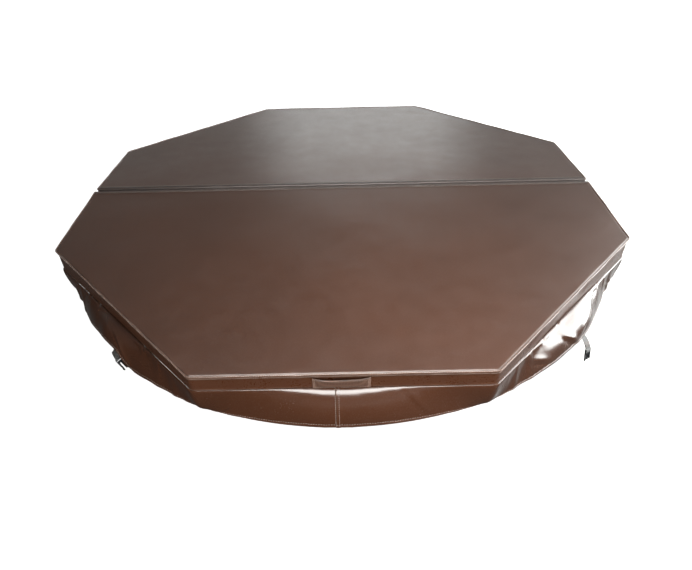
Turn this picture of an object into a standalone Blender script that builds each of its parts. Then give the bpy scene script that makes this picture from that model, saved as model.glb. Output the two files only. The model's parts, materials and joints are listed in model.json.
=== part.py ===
"""Octagonal bifold spa cover: two foam cores in a vinyl jacket, hinged across the middle.

The origin is the centre of the underside, in the plane of the tub's rim. X runs along the
fold, Y from the front half (-Y) to the rear half (+Y), and Z is up. Lengths are in metres.
"""

import math

import bmesh
import bpy
from mathutils import Matrix, Vector

# Driving dimensions
WIDTH = 2.13                  # across the flats of the octagon
FOLD_THICKNESS = 0.1016       # at the fold
EDGE_THICKNESS = 0.0635       # at the front and rear edges
CORNER_RADIUS = 0.024         # of the octagon's corners in plan
FOLD_Y = 0.009                # each half's fold wall stands this far from the middle
HINGE_RISE = 0.004            # the fold's axis lies this far above the ridge
CLEAR = 0.0003                # gap between pieces that touch

SKIN = 0.002                  # coated vinyl panels
FILM = 0.0006                 # vapour barrier
FILM_CLEAR = 0.0008           # panel to vapour barrier
CORE_CLEAR = 0.0025           # panel to foam and steel

CHANNEL_WALL = 0.0015
CHANNEL_FLANGE = 0.038

SKIRT_TOP = 0.004             # the skirt is sewn in just above the underside
SKIRT_DROP = 0.098            # underside to hem
HEM_RADIUS = 1.125            # the hem hangs as a circle round the tub
SKIRT_DROPS = -0.028          # where the hem lies this far past the seam, the skirt only drops
SKIRT_ROLLS = 0.060           # and where it lies this far, the skirt rolls out over the tub's lip
SKIRT_WALL = 0.0025
SKIRT_ROWS = 7
SKIRT_STEP = 0.062            # longest stretch of skirt between two columns
LAP_X = -0.018                # the skirt's two strips meet here, at the front and the rear

WELT_RADIUS = 0.0026
HANDLE_X = -0.006
HANDLE_LENGTH = 0.165
HANDLE_FOOT = 0.0085
HANDLE_TOP = 0.0470
HANDLE_BOW = 0.014
HANDLE_WALL = 0.0025

ZIP_Y = 0.075                 # the zip's distance from the middle
ZIP_REACH = 0.955             # half its length
ZIP_TRAVEL = 0.93             # the slider stops this far from the middle
ZIP_SLIT = 0.007              # width of the slit in the underside
TAPE_HALF = 0.014
TAPE_LOW = -0.0015
CHAIN_HALF = 0.003            # the ridge of closed teeth
CHAIN_LOW = -0.0030
CHAIN_HIGH = 0.0015
SLIDER_HIGH = -0.0034
SLIDER_LOW = -0.0062
SLIDER_OUTLINE = [
    (-0.008, -0.0045), (0.003, -0.0062), (0.008, -0.0048),
    (0.008, 0.0048), (0.003, 0.0062), (-0.008, 0.0045),
]
LUG_RADIUS = 0.0024
LUG_HOLE = 0.0012
LUG_WALL = 0.0024
PULL_DROP = 0.0024            # slider's lower face to the pull's pivot
PULL_WALL = 0.0012
PULL_OUTLINE = [
    (-0.004, 0.0006), (-0.004, -0.022), (-0.0025, -0.027),
    (0.0025, -0.027), (0.004, -0.022), (0.004, 0.0006),
]
PULL_WINDOW = (-0.0022, -0.0075, 0.0022, -0.0006)
GRIP_DROP = 0.0215            # pull's pivot to its grip hole
GRIP_RADIUS = 0.0017

GROMMET_X = 0.985
GROMMET_Y = 0.040
HOLE_RADIUS = 0.0064
BARREL_OUTER = 0.0060
BARREL_INNER = 0.0050
FLANGE_RADIUS = 0.0095
FLANGE_LOW = -0.0011

WEBBING_WIDTH = 0.025
WEBBING = 0.0016
STRAP_LENGTH = 0.055          # along the webbing, hem pivot to buckle bar
STRAP_PIVOT_DROP = 0.004      # the pivot hangs this far below the hem
STRAP_SET_IN = 0.0035         # and this far inside it
EYE_RADIUS = 0.0032           # the webbing's turn round the buckle bar
STRAP_STATIONS = [            # distance along, half thickness: single, then doubled
    (0.012, WEBBING / 2), (0.024, WEBBING / 2), (0.026, WEBBING), (0.038, WEBBING),
]
ANCHOR_SET_IN = 0.0022        # skirt's face to the sewn end of the webbing
ANCHOR_WALL = 0.0032
ANCHOR_FALLS = (0.72, 0.82, 0.91, 0.99)
STRAPS = {                    # degrees: place round the hem, facing, lean at the hem, bar and buckle
    ("front", -1): (-133.7, 150.0, 14.0, -24.0, -46.0),
    ("front", 1): (-42.5, -55.0, 60.0, 18.0, 10.0),
    ("rear", -1): (135.0, 135.0, 4.0, 12.0, 12.0),
    ("rear", 1): (45.0, 45.0, 8.0, -6.0, -6.0),
}

HITCHED = ("front", -1)       # the strip of skirt whose hem is caught up beside its strap
HITCH = 0.26                  # share of its fall that is caught up
HITCH_RISE = (31.0, 45.0)     # degrees round from the fold
HITCH_DROP = (47.3, 50.6)

CLIP_WALL = 0.0050
CLIP_SLOT = (-0.0132, -0.0062, 0.0132, -0.0015)
CLIP_RIGHT = [                # right half of the clip's outline, from its bar down
    (0.0150, 0.0015), (0.0150, -0.0235), (0.0138, -0.0335), (0.0158, -0.0372),
    (0.0140, -0.0436), (0.0105, -0.0442), (0.0096, -0.0360), (0.0090, -0.0150),
    (0.0036, -0.0150), (0.0028, -0.0400), (0.0014, -0.0425),
]

GROOVE_FLAP = 0.030           # width of the hinge strip's sewn flap on each half
GROOVE_DEPTH = 0.019
GROOVE_WALL = 0.0016

SEAL_LOW = 0.010
SEAL_HIGH = 0.074
SEAL_CORNER = 0.004

APOTHEM = WIDTH / 2
AXIS_Z = FOLD_THICKNESS + HINGE_RISE
ENDS = ((-1, "left"), (1, "right"))
HALVES = ((-1, "front"), (1, "rear"))

# Turns a flat outline's plane (x, y) upright: to (x, z), and to (y, z) with its depth along X
UPRIGHT = Matrix.Rotation(math.radians(90), 4, "X")
ACROSS = Matrix.Rotation(math.radians(90), 4, "Z") @ UPRIGHT


# ---------------------------------------------------------------- scene, materials, helpers

def clear_scene():
    for obj in list(bpy.data.objects):
        bpy.data.objects.remove(obj)


def make_collection(name):
    collection = bpy.data.collections.new(name)
    bpy.context.scene.collection.children.link(collection)
    return collection


def make_material(name, colour, roughness, metallic=0.0):
    material = bpy.data.materials.new(name)
    material.use_nodes = True
    shader = material.node_tree.nodes["Principled BSDF"]
    shader.inputs["Base Color"].default_value = (*colour, 1.0)
    shader.inputs["Roughness"].default_value = roughness
    shader.inputs["Metallic"].default_value = metallic
    return material


def coloured(name, base, shift, roughness, metallic=0.0):
    """A sub-part's own material, a shade lighter or darker than its base colour."""
    return make_material(name, [channel * shift for channel in base], roughness, metallic)


def weld(mesh):
    grid = bmesh.new()
    grid.from_mesh(mesh)
    bmesh.ops.remove_doubles(grid, verts=grid.verts, dist=0.00001)
    bmesh.ops.recalc_face_normals(grid, faces=grid.faces)
    grid.to_mesh(mesh)
    grid.free()


def place(obj, collection, material=None):
    collection.objects.link(obj)
    if material:
        obj.data.materials.append(material)
    return obj


def as_mesh(curve, name):
    """A curve's evaluated surface as one welded mesh."""
    source = bpy.data.objects.new(name + "_curve", curve)
    bpy.context.scene.collection.objects.link(source)
    evaluated = source.evaluated_get(bpy.context.evaluated_depsgraph_get())
    mesh = bpy.data.meshes.new_from_object(evaluated)
    bpy.data.objects.remove(source)
    mesh.name = name
    weld(mesh)
    return mesh


def plate(name, outlines, thickness, turn=Matrix()):
    """Flat outlines, filled and thickened equally to both sides; later ones are holes."""
    curve = bpy.data.curves.new(name, "CURVE")
    curve.dimensions = "2D"
    curve.fill_mode = "BOTH"
    curve.extrude = thickness / 2
    for outline in outlines:
        spline = curve.splines.new("POLY")
        spline.points.add(len(outline) - 1)
        for point, (x, y) in zip(spline.points, outline):
            point.co = (x, y, 0, 1)
        spline.use_cyclic_u = True
    mesh = as_mesh(curve, name)
    mesh.transform(turn)
    return bpy.data.objects.new(name, mesh)


def wedge(name, outline, low, high):
    """An outline in plan, with its top and bottom at heights that follow y."""
    obj = plate(name, [outline], 2.0)
    for vertex in obj.data.vertices:
        height = high if vertex.co.z > 0 else low
        vertex.co.z = height(vertex.co.y)
    return obj


def rectangle(x_low, y_low, x_high, y_high):
    return [(x_low, y_low), (x_high, y_low), (x_high, y_high), (x_low, y_high)]


def circle(centre_x, centre_y, radius, count=12):
    turns = [2 * math.pi * step / count for step in range(count)]
    return [(centre_x + radius * math.cos(t), centre_y + radius * math.sin(t)) for t in turns]


def hang_on(obj, parent):
    """Parents a piece whose mesh already lies in the cover's frame."""
    obj.parent = parent
    obj.matrix_parent_inverse = Matrix.Translation(parent.location).inverted()


def combine(obj, other, operation):
    """A Boolean with a guide object, which stays hidden in the cutters' collection."""
    other.hide_render = True
    other.display_type = "WIRE"
    modifier = obj.modifiers.new(other.name, "BOOLEAN")
    modifier.operation = operation
    modifier.solver = "EXACT"
    modifier.object = other


# ---------------------------------------------------------------- the cover's outline

def top_height(y):
    """The upper surface falls evenly from the fold to the front and rear edges."""
    return FOLD_THICKNESS - (FOLD_THICKNESS - EDGE_THICKNESS) * abs(y) / APOTHEM


def half_outline(side, inset, fold_y=FOLD_Y):
    """Half of the octagon in plan, from its left fold end round to its right one."""
    reach = APOTHEM - inset
    radius = CORNER_RADIUS - inset
    centre = (reach - radius) / math.cos(math.radians(22.5))
    points = [(-reach, fold_y)]
    for start in (180, 135, 90, 45):
        middle = math.radians(start - 22.5)
        for step in range(4):
            angle = math.radians(start - 15 * step)
            points.append((
                centre * math.cos(middle) + radius * math.cos(angle),
                centre * math.sin(middle) + radius * math.sin(angle),
            ))
    points.append((reach, fold_y))
    return [(x, side * y) for x, y in points]


# ---------------------------------------------------------------- jacket panels and cores

def make_top_panel(half, side):
    return wedge(
        half + "_top_panel", half_outline(side, 0.0),
        lambda y: top_height(y) - SKIN, top_height,
    )


def make_side_band(half, side):
    """The upright wall round a half's outer edges."""
    ring = half_outline(side, 0.0) + half_outline(side, SKIN)[::-1]
    return wedge(
        half + "_side_band", ring,
        lambda y: 0.0, lambda y: top_height(y) - SKIN - CLEAR,
    )


def make_underside_panel(half, side, cutters):
    """The flat panel that lies on the tub's rim, slit for the zip and holed for the drains."""
    panel = wedge(
        half + "_underside_panel", half_outline(side, SKIN + CLEAR),
        lambda y: 0.0, lambda y: SKIN,
    )
    slit = ZIP_Y - ZIP_SLIT / 2, ZIP_Y + ZIP_SLIT / 2
    slot = plate(
        half + "_zip_slot",
        [rectangle(-ZIP_REACH, side * slit[0], ZIP_REACH, side * slit[1])], 0.02,
    )
    combine(panel, place(slot, cutters), "DIFFERENCE")
    for end, end_name in ENDS:
        hole = plate(
            half + "_drain_hole_" + end_name,
            [circle(end * GROMMET_X, side * GROMMET_Y, HOLE_RADIUS, 16)], 0.02,
        )
        combine(panel, place(hole, cutters), "DIFFERENCE")
    return panel


def make_fold_wall(half, side):
    reach = APOTHEM - SKIN - CLEAR
    near, far = side * FOLD_Y, side * (FOLD_Y + SKIN)
    return wedge(
        half + "_fold_wall", rectangle(-reach, near, reach, far),
        lambda y: SKIN + CLEAR, lambda y: top_height(y) - SKIN - CLEAR,
    )


def make_vapour_wrap(half, side):
    """A film bag round the core and its channel, open at the fold."""
    mouth = FOLD_Y + SKIN + FILM_CLEAR
    bag = wedge(
        half + "_vapour_wrap", half_outline(side, SKIN + FILM_CLEAR, mouth),
        lambda y: SKIN + FILM_CLEAR, lambda y: top_height(y) - SKIN - FILM_CLEAR,
    )
    grid = bmesh.new()
    grid.from_mesh(bag.data)
    at_mouth = [
        face for face in grid.faces
        if all(abs(vertex.co.y * side - mouth) < 0.0001 for vertex in face.verts)
    ]
    bmesh.ops.delete(grid, geom=at_mouth, context="FACES")
    grid.to_mesh(bag.data)
    grid.free()
    shell = bag.modifiers.new("film", "SOLIDIFY")
    shell.thickness = FILM
    shell.offset = -1
    return bag


def channel_face():
    """The web of the steel channel stands this far from the middle."""
    return FOLD_Y + SKIN + CORE_CLEAR


def make_foam_core(half, side, cutters):
    """Tapered foam, rebated top and bottom for the channel's flanges."""
    face = channel_face() + CHANNEL_WALL + 0.0005
    core = wedge(
        half + "_foam_core", half_outline(side, SKIN + CORE_CLEAR, face),
        lambda y: SKIN + CORE_CLEAR, lambda y: top_height(y) - SKIN - CORE_CLEAR,
    )
    rebate = CHANNEL_WALL + 0.0005
    strip = rectangle(
        -WIDTH, side * (face - 0.01), WIDTH, side * (channel_face() + CHANNEL_FLANGE + 0.0005),
    )
    upper = wedge(
        half + "_upper_rebate", strip,
        lambda y: top_height(y) - SKIN - CORE_CLEAR - rebate, lambda y: FOLD_THICKNESS,
    )
    lower = wedge(
        half + "_lower_rebate", strip,
        lambda y: 0.0, lambda y: SKIN + CORE_CLEAR + rebate,
    )
    combine(core, place(upper, cutters), "DIFFERENCE")
    combine(core, place(lower, cutters), "DIFFERENCE")
    return core


def make_steel_channel(half, side):
    """Galvanised C-channel over the core's thick edge, the cover's stiffener."""
    face, tip = channel_face(), channel_face() + CHANNEL_FLANGE
    inner, base = face + CHANNEL_WALL, SKIN + CORE_CLEAR

    def crest(y):
        return top_height(y) - SKIN - CORE_CLEAR

    outline = [
        (face, base), (tip, base), (tip, base + CHANNEL_WALL), (inner, base + CHANNEL_WALL),
        (inner, crest(inner) - CHANNEL_WALL), (tip, crest(tip) - CHANNEL_WALL),
        (tip, crest(tip)), (face, crest(face)),
    ]
    length = 2 * (APOTHEM - SKIN - CORE_CLEAR)
    mirrored = [(side * y, z) for y, z in outline]
    return plate(half + "_steel_channel", [mirrored], length, ACROSS)


def make_welt(half, side):
    """Piping sewn into the top edge."""
    curve = bpy.data.curves.new(half + "_top_welt", "CURVE")
    curve.dimensions = "3D"
    curve.bevel_depth = WELT_RADIUS
    curve.bevel_resolution = 2
    curve.use_fill_caps = True
    path = half_outline(side, -WELT_RADIUS - CLEAR)
    spline = curve.splines.new("POLY")
    spline.points.add(len(path) - 1)
    for point, (x, y) in zip(spline.points, path):
        point.co = (x, y, top_height(y) - SKIN, 1)
    return bpy.data.objects.new(half + "_top_welt", as_mesh(curve, half + "_top_welt"))


# ---------------------------------------------------------------- skirt

def quarter_path(side, end):
    """Plan points where one strip of skirt is sewn on, from the fold to the lap seam."""
    outline = half_outline(side, -CLEAR)
    middle = len(outline) // 2
    corners = outline[:middle] if end < 0 else outline[:middle - 1:-1]
    corners.append((LAP_X + end * CLEAR, side * (APOTHEM + CLEAR)))
    points = [Vector(corners[0])]
    for start, finish in zip(corners, corners[1:]):
        run = Vector(finish) - Vector(start)
        count = max(1, math.ceil(run.length / SKIRT_STEP))
        points += [Vector(start) + run * step / count for step in range(1, count + 1)]
    return points


def smooth(value, low, high):
    share = min(max((value - low) / (high - low), 0.0), 1.0)
    return share * share * (3 - 2 * share)


def hitched_fall(half, end, turn):
    """How far down the skirt reaches at this many degrees round from the fold, at most 1."""
    if (half, end) != HITCHED:
        return 1.0
    return 1 - HITCH * smooth(turn, *HITCH_RISE) * (1 - smooth(turn, *HITCH_DROP))


def skirt_point(top, hem, fall):
    """A point of the skirt, fall going from 0 at the seam to 1 at the hem.

    Off the flats the skirt rolls outward over the tub's lip and then drops. Off the corners
    it drops and then draws in to the round hem.
    """
    reach = hem.length - top.length
    roll = min(max((reach - SKIRT_DROPS) / (SKIRT_ROLLS - SKIRT_DROPS), 0.0), 1.0)
    turn = math.radians(90) * fall
    outward = roll * math.sin(turn) + (1 - roll) * (1 - math.cos(turn))
    downward = roll * (1 - math.cos(turn)) + (1 - roll) * math.sin(turn)
    plan = top.lerp(hem, outward)
    return Vector((plan.x, plan.y, SKIRT_TOP - (SKIRT_TOP + SKIRT_DROP) * downward))


def make_skirt(half, side, end, end_name):
    """One strip of skirt: a loft from the octagon's edge to the round hem."""
    tops = quarter_path(side, end)
    lengths = [(b - a).length for a, b in zip(tops, tops[1:])]
    first = math.asin(FOLD_Y / HEM_RADIUS)
    last = math.acos(end * (LAP_X + end * CLEAR) / HEM_RADIUS)
    grid = bmesh.new()
    columns = []
    for index, top in enumerate(tops):
        angle = first + (last - first) * sum(lengths[:index]) / sum(lengths)
        hem = HEM_RADIUS * Vector((end * math.cos(angle), side * math.sin(angle)))
        reach = hitched_fall(half, end, math.degrees(angle))
        columns.append([
            grid.verts.new(skirt_point(top, hem, reach * row / (SKIRT_ROWS - 1)))
            for row in range(SKIRT_ROWS)
        ])
    for left, right in zip(columns, columns[1:]):
        for row in range(SKIRT_ROWS - 1):
            corners = [left[row], right[row], right[row + 1], left[row + 1]]
            grid.faces.new(corners if side * end > 0 else corners[::-1])
    bmesh.ops.recalc_face_normals(grid, faces=grid.faces)
    grid.faces.ensure_lookup_table()
    middle = grid.faces[len(grid.faces) // 2]
    if middle.normal.dot(middle.calc_center_median()) < 0:
        bmesh.ops.reverse_faces(grid, faces=grid.faces)
    name = half + "_skirt_" + end_name
    mesh = bpy.data.meshes.new(name)
    grid.to_mesh(mesh)
    grid.free()
    skirt = bpy.data.objects.new(name, mesh)
    cloth = skirt.modifiers.new("cloth", "SOLIDIFY")
    cloth.thickness = SKIRT_WALL
    cloth.offset = 1
    return skirt


# ---------------------------------------------------------------- handle

def make_handle(half, side):
    """A flat carrying band on the side wall, sewn at both ends and bowed out at the top."""
    grid = bmesh.new()
    across, up = 12, 4
    columns = []
    for step in range(across + 1):
        along = 2 * step / across - 1
        column = []
        for row in range(up + 1):
            rise = row / up
            bow = HANDLE_BOW * rise ** 0.6 * (1 - along ** 4)
            column.append(grid.verts.new((
                HANDLE_X + along * HANDLE_LENGTH / 2,
                side * (APOTHEM + CLEAR + bow),
                HANDLE_FOOT + (HANDLE_TOP - HANDLE_FOOT) * rise,
            )))
        columns.append(column)
    for left, right in zip(columns, columns[1:]):
        for row in range(up):
            corners = [left[row], right[row], right[row + 1], left[row + 1]]
            grid.faces.new(corners if side < 0 else corners[::-1])
    name = half + "_handle"
    mesh = bpy.data.meshes.new(name)
    grid.to_mesh(mesh)
    grid.free()
    handle = bpy.data.objects.new(name, mesh)
    cloth = handle.modifiers.new("cloth", "SOLIDIFY")
    cloth.thickness = HANDLE_WALL
    cloth.offset = 1
    return handle


# ---------------------------------------------------------------- zip and drains

def make_zipper(half, side):
    """Zip tape with its closed chain of teeth along the middle."""
    right_side = [
        (TAPE_HALF, TAPE_LOW), (TAPE_HALF, -CLEAR),
        (CHAIN_HALF, -CLEAR), (CHAIN_HALF, CHAIN_HIGH),
    ]
    left_side = [(-y, z) for y, z in reversed(right_side)]
    belly = [(-CHAIN_HALF, TAPE_LOW), (-CHAIN_HALF, CHAIN_LOW), (CHAIN_HALF, CHAIN_LOW),
             (CHAIN_HALF, TAPE_LOW)]
    outline = [(side * ZIP_Y + y, z) for y, z in right_side + left_side + belly]
    return plate(half + "_zipper", [outline], 2 * (ZIP_REACH - 0.002), ACROSS)


def make_zipper_slider(half, side, cutters):
    """Slider under the chain, with a lug that carries the pull tab. Origin at its middle."""
    slider = plate(half + "_zipper_slider", [SLIDER_OUTLINE], SLIDER_HIGH - SLIDER_LOW)
    slider.location = (-side * ZIP_TRAVEL, side * ZIP_Y, (SLIDER_HIGH + SLIDER_LOW) / 2)
    depth = (SLIDER_HIGH - SLIDER_LOW) / 2
    pivot = -depth - PULL_DROP
    arc = [math.radians(180 + 30 * step) for step in range(7)]
    lug_outline = [(LUG_RADIUS, 0.0005 - depth), (-LUG_RADIUS, 0.0005 - depth)]
    lug_outline += [
        (LUG_RADIUS * math.cos(a), pivot + LUG_RADIUS * math.sin(a)) for a in arc
    ]
    hole = circle(0, pivot, LUG_HOLE, 10)
    lug = plate(half + "_slider_lug", [lug_outline, hole], LUG_WALL, UPRIGHT)
    lug.location = slider.location
    combine(slider, place(lug, cutters), "UNION")
    return slider


def make_zipper_pull(half, side):
    """Pull tab: its top bar turns in the slider's lug. Origin at the bar."""
    holes = [rectangle(*PULL_WINDOW), circle(0, -GRIP_DROP, GRIP_RADIUS, 10)]
    pull = plate(half + "_zipper_pull", [PULL_OUTLINE] + holes, PULL_WALL, ACROSS)
    pull.location = (-side * ZIP_TRAVEL, side * ZIP_Y, SLIDER_LOW - PULL_DROP)
    return pull


def make_grommet(half, side, end, end_name):
    """Drain eyelet: a turned barrel with a flange on the underside."""
    barrel_top = SKIN + 0.0006
    profile = [
        (BARREL_OUTER, barrel_top), (BARREL_OUTER, -CLEAR), (FLANGE_RADIUS, -CLEAR),
        (FLANGE_RADIUS, FLANGE_LOW), (BARREL_INNER, FLANGE_LOW), (BARREL_INNER, barrel_top),
    ]
    name = half + "_drain_grommet_" + end_name
    mesh = bpy.data.meshes.new(name)
    count = len(profile)
    mesh.from_pydata(
        [(x, 0, z) for x, z in profile], [(i, (i + 1) % count) for i in range(count)], [],
    )
    grommet = bpy.data.objects.new(name, mesh)
    turn = grommet.modifiers.new("turn", "SCREW")
    turn.steps = turn.render_steps = 16
    turn.use_merge_vertices = True
    turn.merge_threshold = 0.00001
    grommet.location = (end * GROMMET_X, side * GROMMET_Y, 0)
    return grommet


# ---------------------------------------------------------------- tie-down straps

def strap_hem(half, end):
    """Where a strap leaves the hem, as a distance from the middle and a height, and its fall."""
    place = abs(STRAPS[half, end][0])
    fall = hitched_fall(half, end, min(place, 180 - place))
    point = skirt_point(Vector((APOTHEM + CLEAR, 0)), Vector((HEM_RADIUS, 0)), fall)
    return point, fall


def make_strap_anchor(half, end, end_name):
    """Folded webbing sewn to the skirt's inner face just above the hem."""
    place = math.radians(STRAPS[half, end][0])
    top = Vector((APOTHEM + CLEAR, 0))
    hem = Vector((HEM_RADIUS, 0))
    _, reach = strap_hem(half, end)
    edge = [skirt_point(top, hem, reach * fall) for fall in ANCHOR_FALLS]
    outer = [(p.x - ANCHOR_SET_IN, p.z) for p in edge]
    inner = [(p.x - ANCHOR_SET_IN - ANCHOR_WALL, p.z) for p in reversed(edge)]
    name = half + "_strap_anchor_" + end_name
    anchor = plate(name, [outer + inner], WEBBING_WIDTH, UPRIGHT)
    anchor.data.transform(Matrix.Rotation(place, 4, "Z"))
    return anchor


def strap_line(bend, along):
    """Centre and heading of webbing that leaves the hem straight down and bends evenly."""
    heading = bend * along / STRAP_LENGTH
    if abs(bend) < 0.001:
        return Vector((0, -along)), heading
    radius = STRAP_LENGTH / bend
    return Vector((radius * (1 - math.cos(heading)), -radius * math.sin(heading))), heading


def make_strap(half, end, end_name):
    """Hanging webbing, doubled at the foot round the buckle's bar. Origin at the hem."""
    place, facing, lean, final, _ = (math.radians(angle) for angle in STRAPS[half, end])
    bend = final - lean
    rim = EYE_RADIUS + WEBBING
    shoulder = math.asin(WEBBING / rim)
    foot = STRAP_LENGTH - rim * math.cos(shoulder)
    outer, inner = [], []
    for along, half_wall in [(0.0, WEBBING / 2), *STRAP_STATIONS, (foot, WEBBING)]:
        centre, heading = strap_line(bend, along)
        across = Vector((math.cos(heading), math.sin(heading)))
        outer.append(centre + half_wall * across)
        inner.append(centre - half_wall * across)
    eye_centre, heading = strap_line(bend, STRAP_LENGTH)
    turn_round = []
    for step in range(1, 14):
        angle = heading + math.pi / 2 - shoulder - (2 * math.pi - 2 * shoulder) * step / 14
        turn_round.append(eye_centre + rim * Vector((math.cos(angle), math.sin(angle))))
    outline = outer + turn_round + inner[::-1]
    eye = circle(*eye_centre, EYE_RADIUS, 12)
    strap = plate(half + "_strap_" + end_name, [outline, eye], WEBBING_WIDTH, UPRIGHT)
    hem, _ = strap_hem(half, end)
    reach = hem.x - STRAP_SET_IN
    strap.location = (reach * math.cos(place), reach * math.sin(place), hem.z - STRAP_PIVOT_DROP)
    strap.rotation_euler = (0, -lean, facing)
    return strap


def make_buckle(half, end, end_name):
    """Side-release clip: bar, frame, guide tongue and two barbed arms. Origin at the bar."""
    outline = CLIP_RIGHT + [(-x, z) for x, z in reversed(CLIP_RIGHT)]
    slot = rectangle(*CLIP_SLOT)
    buckle = plate(half + "_buckle_" + end_name, [outline, slot], CLIP_WALL, ACROSS)
    _, _, lean, final, hang = (math.radians(angle) for angle in STRAPS[half, end])
    bar, _ = strap_line(final - lean, STRAP_LENGTH)
    buckle.location = (bar.x, 0, bar.y)
    buckle.rotation_euler = (0, lean - hang, 0)
    return buckle


# ---------------------------------------------------------------- pieces at the fold

def make_hinge_strip():
    """One vinyl strip sewn to both top panels, slack in a groove between them."""
    lip = FOLD_Y - 0.0006 - GROOVE_WALL / 2
    outer, inner = top_height(GROOVE_FLAP) + CLEAR, top_height(FOLD_Y) + CLEAR + 0.0002
    foot = inner - GROOVE_DEPTH
    lower = [(GROOVE_FLAP, outer), (FOLD_Y, inner), (lip, inner - 0.001), (0.0006, foot)]
    upper = [
        (GROOVE_FLAP, outer + GROOVE_WALL), (FOLD_Y - 0.0005, inner + GROOVE_WALL),
        (0.0006, foot + 0.003),
    ]
    outline = upper + [(-y, z) for y, z in reversed(upper)]
    outline += [(-y, z) for y, z in lower] + list(reversed(lower))
    reach = APOTHEM - 0.001
    return plate("hinge_strip", [outline], 2 * reach, ACROSS)


def make_steam_seal():
    """Padded strip along the rear fold wall that closes the gap under the hinge."""
    reach = FOLD_Y - 0.0005 - SEAL_CORNER
    low, high = SEAL_LOW + SEAL_CORNER, SEAL_HIGH - SEAL_CORNER
    outline = []
    for y, z, start in ((reach, low, 270), (reach, high, 0), (-reach, high, 90), (-reach, low, 180)):
        for step in range(4):
            angle = math.radians(start + 30 * step)
            outline.append((y + SEAL_CORNER * math.cos(angle), z + SEAL_CORNER * math.sin(angle)))
    return plate("steam_seal", [outline], 2 * (APOTHEM - 0.004), ACROSS)


# ---------------------------------------------------------------- the whole cover

BROWN = (0.090, 0.055, 0.042)
BLACK = (0.012, 0.012, 0.014)
GREY = (0.16, 0.16, 0.17)
STEEL = (0.62, 0.64, 0.66)


def build_half(side, half, cover, cutters):
    pivot = bpy.data.objects.new(half + "_half", None)
    pivot.location = (0, 0, AXIS_Z)
    cover.objects.link(pivot)

    def add(obj, base, shift, roughness, metallic=0.0):
        material = coloured(obj.name, base, shift, roughness, metallic)
        hang_on(place(obj, cover, material), pivot)
        return obj

    add(make_top_panel(half, side), BROWN, 1.0, 0.35)
    add(make_side_band(half, side), BROWN, 0.85, 0.35)
    add(make_underside_panel(half, side, cutters), GREY, 1.3, 0.6)
    add(make_fold_wall(half, side), GREY, 1.0, 0.6)
    add(make_vapour_wrap(half, side), (0.75, 0.78, 0.80), 1.0, 0.2)
    add(make_foam_core(half, side, cutters), (0.90, 0.90, 0.88), 1.0, 0.8)
    add(make_steel_channel(half, side), STEEL, 1.0, 0.35, 1.0)
    add(make_welt(half, side), BROWN, 1.2, 0.3)
    add(make_handle(half, side), BROWN, 0.7, 0.5)
    add(make_zipper(half, side), BLACK, 1.0, 0.6)
    slider = add(make_zipper_slider(half, side, cutters), BLACK, 1.5, 0.4)
    bpy.data.objects[half + "_slider_lug"].parent = pivot
    bpy.data.objects[half + "_slider_lug"].matrix_parent_inverse = slider.matrix_parent_inverse
    add(make_zipper_pull(half, side), BLACK, 2.0, 0.4)
    for end, end_name in ENDS:
        add(make_skirt(half, side, end, end_name), BROWN, 0.95, 0.3)
        add(make_grommet(half, side, end, end_name), (0.60, 0.48, 0.25), 1.0, 0.3, 1.0)
        add(make_strap_anchor(half, end, end_name), BLACK, 1.2, 0.8)
        strap = add(make_strap(half, end, end_name), BLACK, 1.0, 0.8)
        buckle = make_buckle(half, end, end_name)
        place(buckle, cover, coloured(buckle.name, BLACK, 0.8, 0.3)).parent = strap


def main():
    clear_scene()
    cover = make_collection("spa_cover")
    cutters = make_collection("cutters")
    for side, half in HALVES:
        build_half(side, half, cover, cutters)
    place(make_hinge_strip(), cover, coloured("hinge_strip", BROWN, 0.9, 0.35))
    place(make_steam_seal(), cover, coloured("steam_seal", GREY, 0.8, 0.6))


main()
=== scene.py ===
"""Looks of an octagonal bifold spa cover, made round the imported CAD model.

Everything is in metres, in the CAD model's frame: X along the fold, -Y the front half, +Z up.
"""

import json
from math import acos, asin, atan2, ceil, cos, pi, radians, sin, sqrt

import bmesh
import bpy
import numpy as np
from mathutils import Matrix, Vector


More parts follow.
